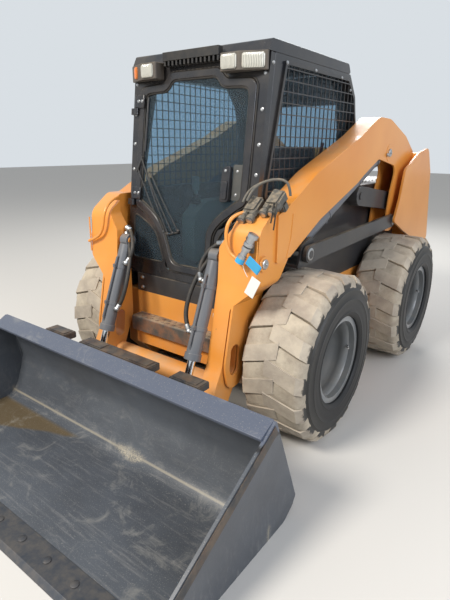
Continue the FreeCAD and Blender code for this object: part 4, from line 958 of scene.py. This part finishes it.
# Hoses: black braided rubber with zinc-plated swivels. Two run down the inner side of each tilt
# cylinder from the arm's pipes, one to its base port and one looped to its gland port.
hose_rubber = dusty_finish("black_braided_hose", "#1a1a1b", 0.55, dust=0.4, splash=0.3, grain=26.0)
HOSE_RADIUS = 0.0115
HOSE_ROUTES = [[(0.352, -0.775, 1.050), (0.325, -0.795, 1.040), (0.262, -0.835, 0.960), (0.232, -0.885, 0.860),
                (0.226, -0.925, 0.760), (0.244, -0.945, 0.690), (0.272, -0.952, 0.652)],
               [(0.352, -0.770, 1.082), (0.318, -0.780, 1.080), (0.262, -0.812, 1.020), (0.244, -0.845, 0.945),
                (0.276, -0.862, 0.900)]]
SWIVEL = [(0.014, 0), (0.017, 0.004), (0.017, 0.016), (0.0135, 0.018), (0.0135, 0.045), (0.0115, 0.047)]
for side_name, side in zip(SIDES, (1, -1)):
    hoses = bmesh.new()
    swivels = bmesh.new()
    for route in HOSE_ROUTES:
        run = smooth_route([(side * x, y, z) for x, y, z in route])
        sweep(hoses, run, HOSE_RADIUS, sides=12)
        for end, inner in ((run[0], run[1]), (run[-1], run[-2])):
            way = (inner - end).normalized()
            add_turned(swivels, end - way * 0.006, way, SWIVEL, 12)
        add_turned(swivels, run[-1] + Vector((side * 0.022, 0, 0)), (-side, 0, 0),
                   [(0.011, -0.01), (0.011, 0.020), (0.009, 0.022)], 12)
    for name, mesh, finish, slot in (("tilt_hoses_", hoses, hose_rubber, "tyre_rubber"),
                                     ("hose_swivels_", swivels, zinc_bolts, "edge_steel")):
        piece = mesh_object(name + side_name, mesh, finish)
        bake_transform(piece)

# Rear: a pressed hood in black, an orange gate with rows of slots, and a lamp each side of it. A
# fine black mesh lies behind the gate's slots, and louvres are pressed in the hood.
finish_node("hood", black_powder_coat, 0.006)
finish_node("tailgate", orange_enamel, 0.003)
hood_low, hood_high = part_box("hood")
LOUVRES, LOUVRE_PITCH, LOUVRE_HALF = 9, 0.07, Vector((0.13, 0.022, 0.004))
LOUVRE_SLOPE = Matrix.Rotation(math.radians(14), 3, "X")
louvres = bmesh.new()
for x in (-0.22, 0.22):
    for n in range(LOUVRES):
        middle = Vector((x, hood_low.y + 0.45 + LOUVRE_PITCH * n, hood_high.z))
        add_box(louvres, middle - LOUVRE_HALF, middle + LOUVRE_HALF, 0.003, LOUVRE_SLOPE)
mesh_piece("hood_louvres", louvres, black_powder_coat, "chassis")
gate_low, gate_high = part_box("tailgate")
WIRES_UP, WIRES_ACROSS, WIRE_HALF = 60, 44, 0.0012
MESH_X, MESH_Y, MESH_LOW, MESH_HIGH = 0.34, gate_low.y + 0.0144, gate_low.z + 0.10, gate_high.z - 0.12
mesh_wire = bmesh.new()
for n in range(WIRES_UP):
    x = MESH_X * (2 * n / (WIRES_UP - 1) - 1)
    add_box(mesh_wire, (x - WIRE_HALF, MESH_Y - 0.0024, MESH_LOW), (x + WIRE_HALF, MESH_Y, MESH_HIGH))
for n in range(WIRES_ACROSS):
    z = MESH_LOW + (MESH_HIGH - MESH_LOW) * n / (WIRES_ACROSS - 1)
    add_box(mesh_wire, (-0.342, MESH_Y, z - WIRE_HALF), (0.342, MESH_Y + 0.0024, z + WIRE_HALF))
mesh_piece("gate_mesh", mesh_wire, coated_wire, "tailgate")
latch = bmesh.new()
add_box(latch, (0.355, gate_high.y - 0.002, 0.93), (0.405, gate_high.y + 0.016, 1.02), 0.004)
add_turned(latch, (0.38, gate_high.y + 0.014, 0.975), (0, 1, 0), [(0.016, 0), (0.016, 0.006), (0.013, 0.008)])
mesh_piece("gate_latch", latch, black_powder_coat, "tailgate")
red_lens = striped("red_tail_lens", "#7c1210", "#b3241c", 70.0, "Z", Roughness=0.15, Specular_IOR_Level=0.7)[0]
finish_node("tail_lamps", red_lens, 0.003)
bumper_bolts = bmesh.new()
bumper_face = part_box("rear_bumper")[1].y
for x in (-0.38, -0.30, 0.30, 0.38):
    add_bolt(bumper_bolts, (x, bumper_face, 0.46), (0, 1, 0), 0.024, 0.012)
mesh_piece("bumper_bolts", bumper_bolts, zinc_bolts, "chassis")

# Bucket: 8 and 12 mm wear-resistant plate, welded, slate grey with a bluish lip band, and a dark
# line of painted shadow under the lip. Its floor is scratched bright, and tan dust and brown silt lie along the
# fold.
bucket_paint, shine, place = new_material("worn_bucket_paint", Specular_IOR_Level=0.5)
FOLD_Y, SILT_END = -1.262, -0.12
split = add(bucket_paint, "SeparateXYZ", {"Vector": place})
across, along, height = (split.outputs[axis] for axis in "XYZ")
streaks = add(bucket_paint, "Mapping", {"Vector": place, "Scale": (0.5, 6.0, 2.0)})
scratch = add(bucket_paint, "TexNoise", {"Vector": streaks, "Scale": 9.0, "Detail": 10.0, "Roughness": 0.75})
cloud = add(bucket_paint, "TexNoise", {"Vector": place, "Scale": 3.0, "Detail": 8.0, "Roughness": 0.65})
lip = add(bucket_paint, "MapRange", {"Value": height, "From Min": 0.492, "From Max": 0.500})
bare = add(bucket_paint, "MapRange", {"Value": scratch, "From Min": 0.52, "From Max": 0.74, "To Max": 0.5})
low = add(bucket_paint, "MapRange", {"Value": height, "From Min": 0.30, "From Max": 0.02})
worn = add(bucket_paint, "Math", {0: bare, 1: low}, operation="MULTIPLY")
# Dust has run down to the fold of the floor and dried there in a narrow, broken, crumbly line.
fold = add(bucket_paint, "Math", {0: along, 1: FOLD_Y}, operation="SUBTRACT")
from_fold = add(bucket_paint, "Math", {0: fold}, operation="ABSOLUTE")
ragged = add(bucket_paint, "Math", {0: cloud, 1: 0.15, 2: -0.066}, operation="MULTIPLY_ADD")
inside = add(bucket_paint, "Math", {0: ragged, 1: from_fold}, operation="SUBTRACT")
heap = add(bucket_paint, "MapRange", {"Value": inside, "From Min": 0.0, "From Max": 0.02, "To Max": 0.95})
specks = add(bucket_paint, "TexNoise", {"Vector": place, "Scale": 190.0, "Detail": 3.0, "Roughness": 0.6})
crumbs = add(bucket_paint, "MapRange", {"Value": specks, "From Min": 0.42, "From Max": 0.58, "To Min": 0.15})
drift = add(bucket_paint, "Math", {0: heap, 1: crumbs}, operation="MULTIPLY")
crust = add(bucket_paint, "MapRange", {"Value": from_fold, "From Min": 0.006, "From Max": 0.002, "To Max": 0.6})
fuller = add(bucket_paint, "Math", {0: drift, 1: crust}, operation="MAXIMUM")
near_floor = add(bucket_paint, "MapRange", {"Value": height, "From Min": 0.09, "From Max": 0.05})
dust_line = add(bucket_paint, "Math", {0: fuller, 1: near_floor}, operation="MULTIPLY")
# Silt has settled from rain water towards the machine's right, in a smooth brown stain.
spread = add(bucket_paint, "Math", {0: across, 1: -0.42, 2: -0.045}, operation="MULTIPLY_ADD")
wavy = add(bucket_paint, "Math", {0: cloud, 1: 0.06, 2: -0.03}, operation="MULTIPLY_ADD")
shore = add(bucket_paint, "Math", {0: spread, 1: wavy}, operation="ADD")
before_fold = add(bucket_paint, "Math", {0: fold, 1: shore}, operation="ADD")
stained = add(bucket_paint, "MapRange", {"Value": before_fold, "From Min": -0.012, "From Max": 0.012})
right_half = add(bucket_paint, "Math", {0: across, 1: SILT_END}, operation="LESS_THAN")
on_floor = add(bucket_paint, "MapRange", {"Value": height, "From Min": 0.030, "From Max": 0.024})
stain = add(bucket_paint, "Math", {0: stained, 1: right_half}, operation="MULTIPLY")
silt = add(bucket_paint, "Math", {0: stain, 1: on_floor}, operation="MULTIPLY")
# Painted shadow: a dark line on the back wall just under the lip band, where the lip shades it.
under_lip_shadow_low = add(bucket_paint, "MapRange", {"Value": height, "From Min": 0.478, "From Max": 0.484})
under_lip_shadow_high = add(bucket_paint, "MapRange", {"Value": height, "From Min": 0.496, "From Max": 0.490})
painted_lip_shadow = add(bucket_paint, "Math", {0: under_lip_shadow_low, 1: under_lip_shadow_high}, operation="MULTIPLY")
# Dry grit shows as pale specks about 3 mm apart, and boots and a broom have left faint smudges.
grit = add(bucket_paint, "MapRange", {"Value": specks, "From Min": 0.60, "From Max": 0.70, "To Max": 0.42})
swirl = add(bucket_paint, "TexNoise", {"Vector": place, "Scale": 5.5, "Detail": 9.0, "Roughness": 0.72,
                                       "Distortion": 1.2})
smudge = add(bucket_paint, "MapRange", {"Value": swirl, "From Min": 0.54, "From Max": 0.72, "To Max": 0.42})
film = add(bucket_paint, "Math", {0: grit, 1: smudge}, operation="MAXIMUM")
normal = add(bucket_paint, "NewGeometry").outputs["Normal"]
facing = add(bucket_paint, "SeparateXYZ", {"Vector": normal}).outputs["Z"]
level = add(bucket_paint, "MapRange", {"Value": facing, "From Min": 0.0, "From Max": 0.8, "To Min": 0.25})
dirt = add(bucket_paint, "Math", {0: film, 1: level}, operation="MULTIPLY")
colour = mottled(bucket_paint, place, 3.0, "#45494f", "#4f545b", detail=8.0, roughness=0.65)
# Over the paint go the lip band, bare wear, the dust line, silt, the painted shadow under the lip, and dirt.
for share, layer in ((lip, "#555c6b"), (worn, "#8d8c8a"), (dust_line, "#aaa18c"), (silt, "#5e523e"),
                     (painted_lip_shadow, "#1d1e21"), (dirt, "#a9a79f")):
    colour = add(bucket_paint, "Mix", {MIX_FACTOR: share, MIX_A: colour, MIX_B: linear(layer)}, data_type="RGBA")
feed(shine, {"Base Color": colour,
             "Roughness": add(bucket_paint, "MapRange", {"Value": dirt, "To Min": 0.36, "To Max": 0.85}),
             "Normal": add(bucket_paint, "Bump", {"Height": scratch, "Strength": 0.2, "Distance": 0.0015})})
finish_node("bucket_shell", bucket_paint, 0.0025)
bucket_welds = bmesh.new()
weld_beads(bucket_welds, [(0.9425, -1.30, 0.0225), (0.9425, -1.262, 0.024), (0.9425, -1.215, 0.075),
                          (0.9425, -1.178, 0.25), (0.9425, -1.205, 0.415), (0.9425, -1.262, 0.502)])
mesh_piece("bucket_welds", bucket_welds, bucket_paint, "bucket", 60)

# Coupler and side bars: steel plate that has lost its paint to dark rust. The coupler's top bar hooks
# under the bucket's lip, in three lengths with room between them for the tilt cylinders.
rusty_steel, shine, place = new_material("rusty_coupler_steel")
rust = mottled(rusty_steel, place, 16.0, "#2c2e32", "#4b3b31", (0.44, 0.62))
dusty(rusty_steel, shine, place, rust, 0.5, dust=0.1, splash=0.15, grain=14.0)
finish_node("coupler_plate", rusty_steel, 0.003)
top_bar = bmesh.new()
for start, end in ((-0.56, -0.386), (-0.258, 0.258), (0.386, 0.56)):
    add_box(top_bar, (start, -1.232, 0.516), (end, -1.150, 0.5525), 0.004)
for start, end in ((-0.54, -0.40), (-0.24, -0.09), (0.09, 0.24), (0.40, 0.54)):
    add_box(top_bar, (start, -1.222, 0.548), (end, -1.160, 0.5565), 0.003)
mesh_piece("coupler_top_bar", top_bar, rusty_steel, "bucket")
# A flat bar is welded on each of the bucket's side plates, along their front edge.
SIDE_PLATE_X, SIDE_BAR_WIDTH = 0.955, 0.045
SIDE_EDGE = [Vector((0, -1.90, 0.030)), Vector((0, -1.868, 0.187)), Vector((0, -1.250, 0.535))]
BUCKET_MIDDLE = Vector((0, -1.5, 0.0))
side_bars = bmesh.new()
for side in (-1, 1):
    for start, end in zip(SIDE_EDGE, SIDE_EDGE[1:]):
        along = (end - start).normalized()
        inward = Vector((0, along.z, -along.y)) * SIDE_BAR_WIDTH
        inward = inward if inward.dot(BUCKET_MIDDLE - start) > 0 else -inward
        bridge(side_bars, [[side_bars.verts.new(corner + Vector((side * (SIDE_PLATE_X + out), 0, 0)))
                            for corner in (start, end, end + inward, start + inward)] for out in (0.0005, 0.0035)])
mesh_piece("side_bars", side_bars, rusty_steel, "bucket")

# Cutting edge: hardened bar bolted on under the floor's front, with its paint gone. Its plough
# bolts are flat and round on top.
ground_edge = dusty_finish("ground_edge_steel", "#4b4f56", 0.42, dust=0.07, splash=0.05, grain=22.0, Metallic=0.7)
finish_node("cutting_edge", ground_edge)
edge_low, edge_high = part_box("cutting_edge")
EDGE_BOLTS, BOLT_TOP = 11, [(0.017, -0.002), (0.017, 0.003), (0.012, 0.005)]
edge_bolts = bmesh.new()
for n in range(EDGE_BOLTS):
    x = edge_low.x + (edge_high.x - edge_low.x) * (n + 0.5) / EDGE_BOLTS
    add_turned(edge_bolts, (x, edge_low.y + 0.075, edge_high.z), (0, 0, 1), BOLT_TOP)
mesh_piece("edge_bolts", edge_bolts, ground_edge, "bucket")

# Studio: a pale plain floor, a soft key from the machine's front left and above, a wide fill and a
# pale world. The camera stands where the photograph was taken from.
floor_paper = new_material("pale_studio_floor", Roughness=0.9, Base_Color=linear("#cfcdc8"))[0]
floor_mesh = bmesh.new()
bmesh.ops.create_grid(floor_mesh, x_segments=1, y_segments=1, size=30)
floor = mesh_object("floor", floor_mesh, floor_paper)
floor.location.z = -0.0005


def soft_light(name, place, aim, size, power, colour="#ffffff"):
    """A round soft lamp that looks from its place to an aim."""
    lamp = bpy.data.lights.new(name, "AREA")
    lamp.shape = "DISK"
    lamp.size = size
    lamp.energy = power
    lamp.color = linear(colour)[:3]
    holder = bpy.data.objects.new(name, lamp)
    bpy.context.scene.collection.objects.link(holder)
    holder.location = place
    holder.rotation_euler = (Vector(aim) - Vector(place)).to_track_quat("-Z", "Y").to_euler()


soft_light("key", (-1.2, -6.8, 6.2), (0, -0.4, 0.7), 2.5, 720, "#fff8ee")
soft_light("fill", (6.0, -1.5, 4.0), (0, -0.3, 0.8), 4.0, 210, "#eef3ff")
soft_light("rim", (-1.5, 6.0, 5.0), (0, 0.2, 1.0), 3.0, 240)
world = bpy.data.worlds.new("studio")
bpy.context.scene.world = world
world.use_nodes = True
sky = world.node_tree.nodes["Background"]
feed(sky, {"Color": linear("#e6e9ee"), "Strength": 0.6})
# The backdrop that the eye, the glass and the polished metal see is a pale, cool paper.
backdrop = add(world, "Background", {"Color": linear("#d9dfe4")})
rays = add(world, "LightPath").outputs
seen = rays["Is Camera Ray"]
for ray in ("Is Glossy Ray", "Is Transmission Ray"):
    seen = add(world, "Math", {0: seen, 1: rays[ray]}, operation="MAXIMUM")
feed(world.node_tree.nodes["World Output"], {0: add(world, "MixShader", {0: seen, 1: sky, 2: backdrop})})

CAMERA_PLACE, CAMERA_HEADING, CAMERA_DIP, CAMERA_ROLL = (1.717, -2.591, 1.535), 36.791, 18.176, 0.554
lens_data = bpy.data.cameras.new("photo_camera")
lens_data.lens = 28.19
lens_data.sensor_width = 36.0
lens_data.clip_end = 200.0
camera = bpy.data.objects.new("photo_camera", lens_data)
bpy.context.scene.collection.objects.link(camera)
camera.matrix_world = Matrix.Translation(CAMERA_PLACE)
for degrees, axis in ((CAMERA_HEADING, "Z"), (90 - CAMERA_DIP, "X"), (CAMERA_ROLL, "Z")):
    camera.matrix_world = camera.matrix_world @ Matrix.Rotation(math.radians(degrees), 4, axis)
scene = bpy.context.scene
scene.camera = camera
scene.view_settings.view_transform = "Standard"
